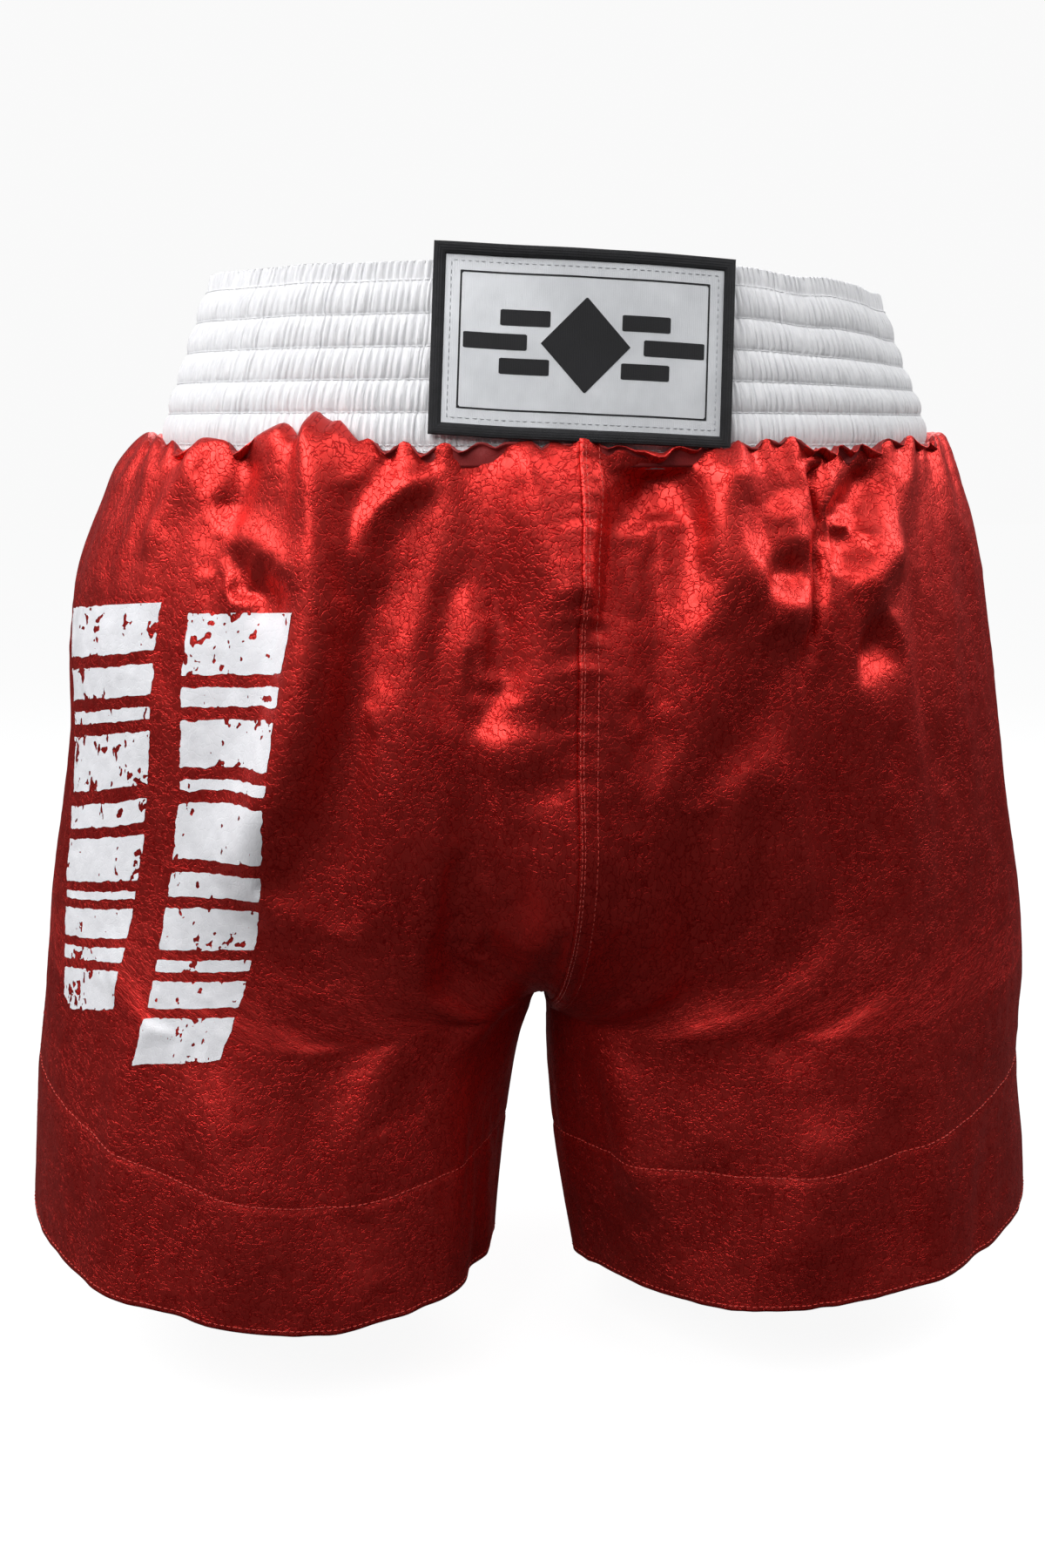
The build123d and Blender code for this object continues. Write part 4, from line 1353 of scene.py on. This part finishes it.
def make_world():
    world = bpy.data.worlds.new("studio")
    world.use_nodes = True
    tree = world.node_tree
    tree.nodes.clear()
    out = tree.nodes.new("ShaderNodeOutputWorld")
    seen = tree.nodes.new("ShaderNodeLightPath")
    room = tree.nodes.new("ShaderNodeBackground")
    backdrop = tree.nodes.new("ShaderNodeBackground")
    choose = tree.nodes.new("ShaderNodeMixShader")
    place = tree.nodes.new("ShaderNodeTexCoord")
    split = tree.nodes.new("ShaderNodeSeparateXYZ")
    grade = tree.nodes.new("ShaderNodeMapRange")
    tree.links.new(place.outputs["Generated"], split.inputs[0])
    tree.links.new(split.outputs["Z"], grade.inputs["Value"])
    for key, value in (("From Min", -0.1), ("From Max", 0.9), ("To Min", 0.09), ("To Max", 0.30)):
        grade.inputs[key].default_value = value
    tree.links.new(grade.outputs["Result"], room.inputs["Strength"])
    room.inputs["Color"].default_value = (0.95, 0.97, 1.0, 1)
    backdrop.inputs["Color"].default_value = (1, 1, 1, 1)
    backdrop.inputs["Strength"].default_value = 0.95
    tree.links.new(seen.outputs["Is Camera Ray"], choose.inputs["Fac"])
    tree.links.new(room.outputs[0], choose.inputs[1])
    tree.links.new(backdrop.outputs[0], choose.inputs[2])
    tree.links.new(choose.outputs[0], out.inputs["Surface"])
    bpy.context.scene.world = world


def make_camera():
    data = bpy.data.cameras.new("camera")
    data.sensor_fit = "VERTICAL"
    data.sensor_height = 36
    data.lens = 41.4
    data.clip_start, data.clip_end = 0.02, 60
    camera = bpy.data.objects.new("camera", data)
    camera.location = (-0.0983, -0.9349, -0.0720)
    camera.rotation_euler = Euler((radians(90 - 11.2), 0, radians(-5.2)), "XYZ")
    bpy.context.collection.objects.link(camera)
    bpy.context.scene.camera = camera


make_floor()
make_world()
make_camera()
area_light("key", (-0.95, -1.15, 0.90), (0, 0, -0.2), (1.25, 1.0), 26)
area_light("side", (1.2, -0.05, 0.75), (0, 0, -0.2), (0.8, 0.9), 12)
area_light("front", (0.75, -1.0, 1.15), (0, 0, -0.15), (0.8, 0.8), 6)
area_light("left", (-1.15, -0.15, 0.85), (0, 0, -0.2), (0.8, 0.8), 11)
area_light("back", (0.25, 1.35, 0.85), (0, 0, -0.2), (1.2, 0.9), 14)
bpy.context.scene.view_settings.view_transform = "Standard"
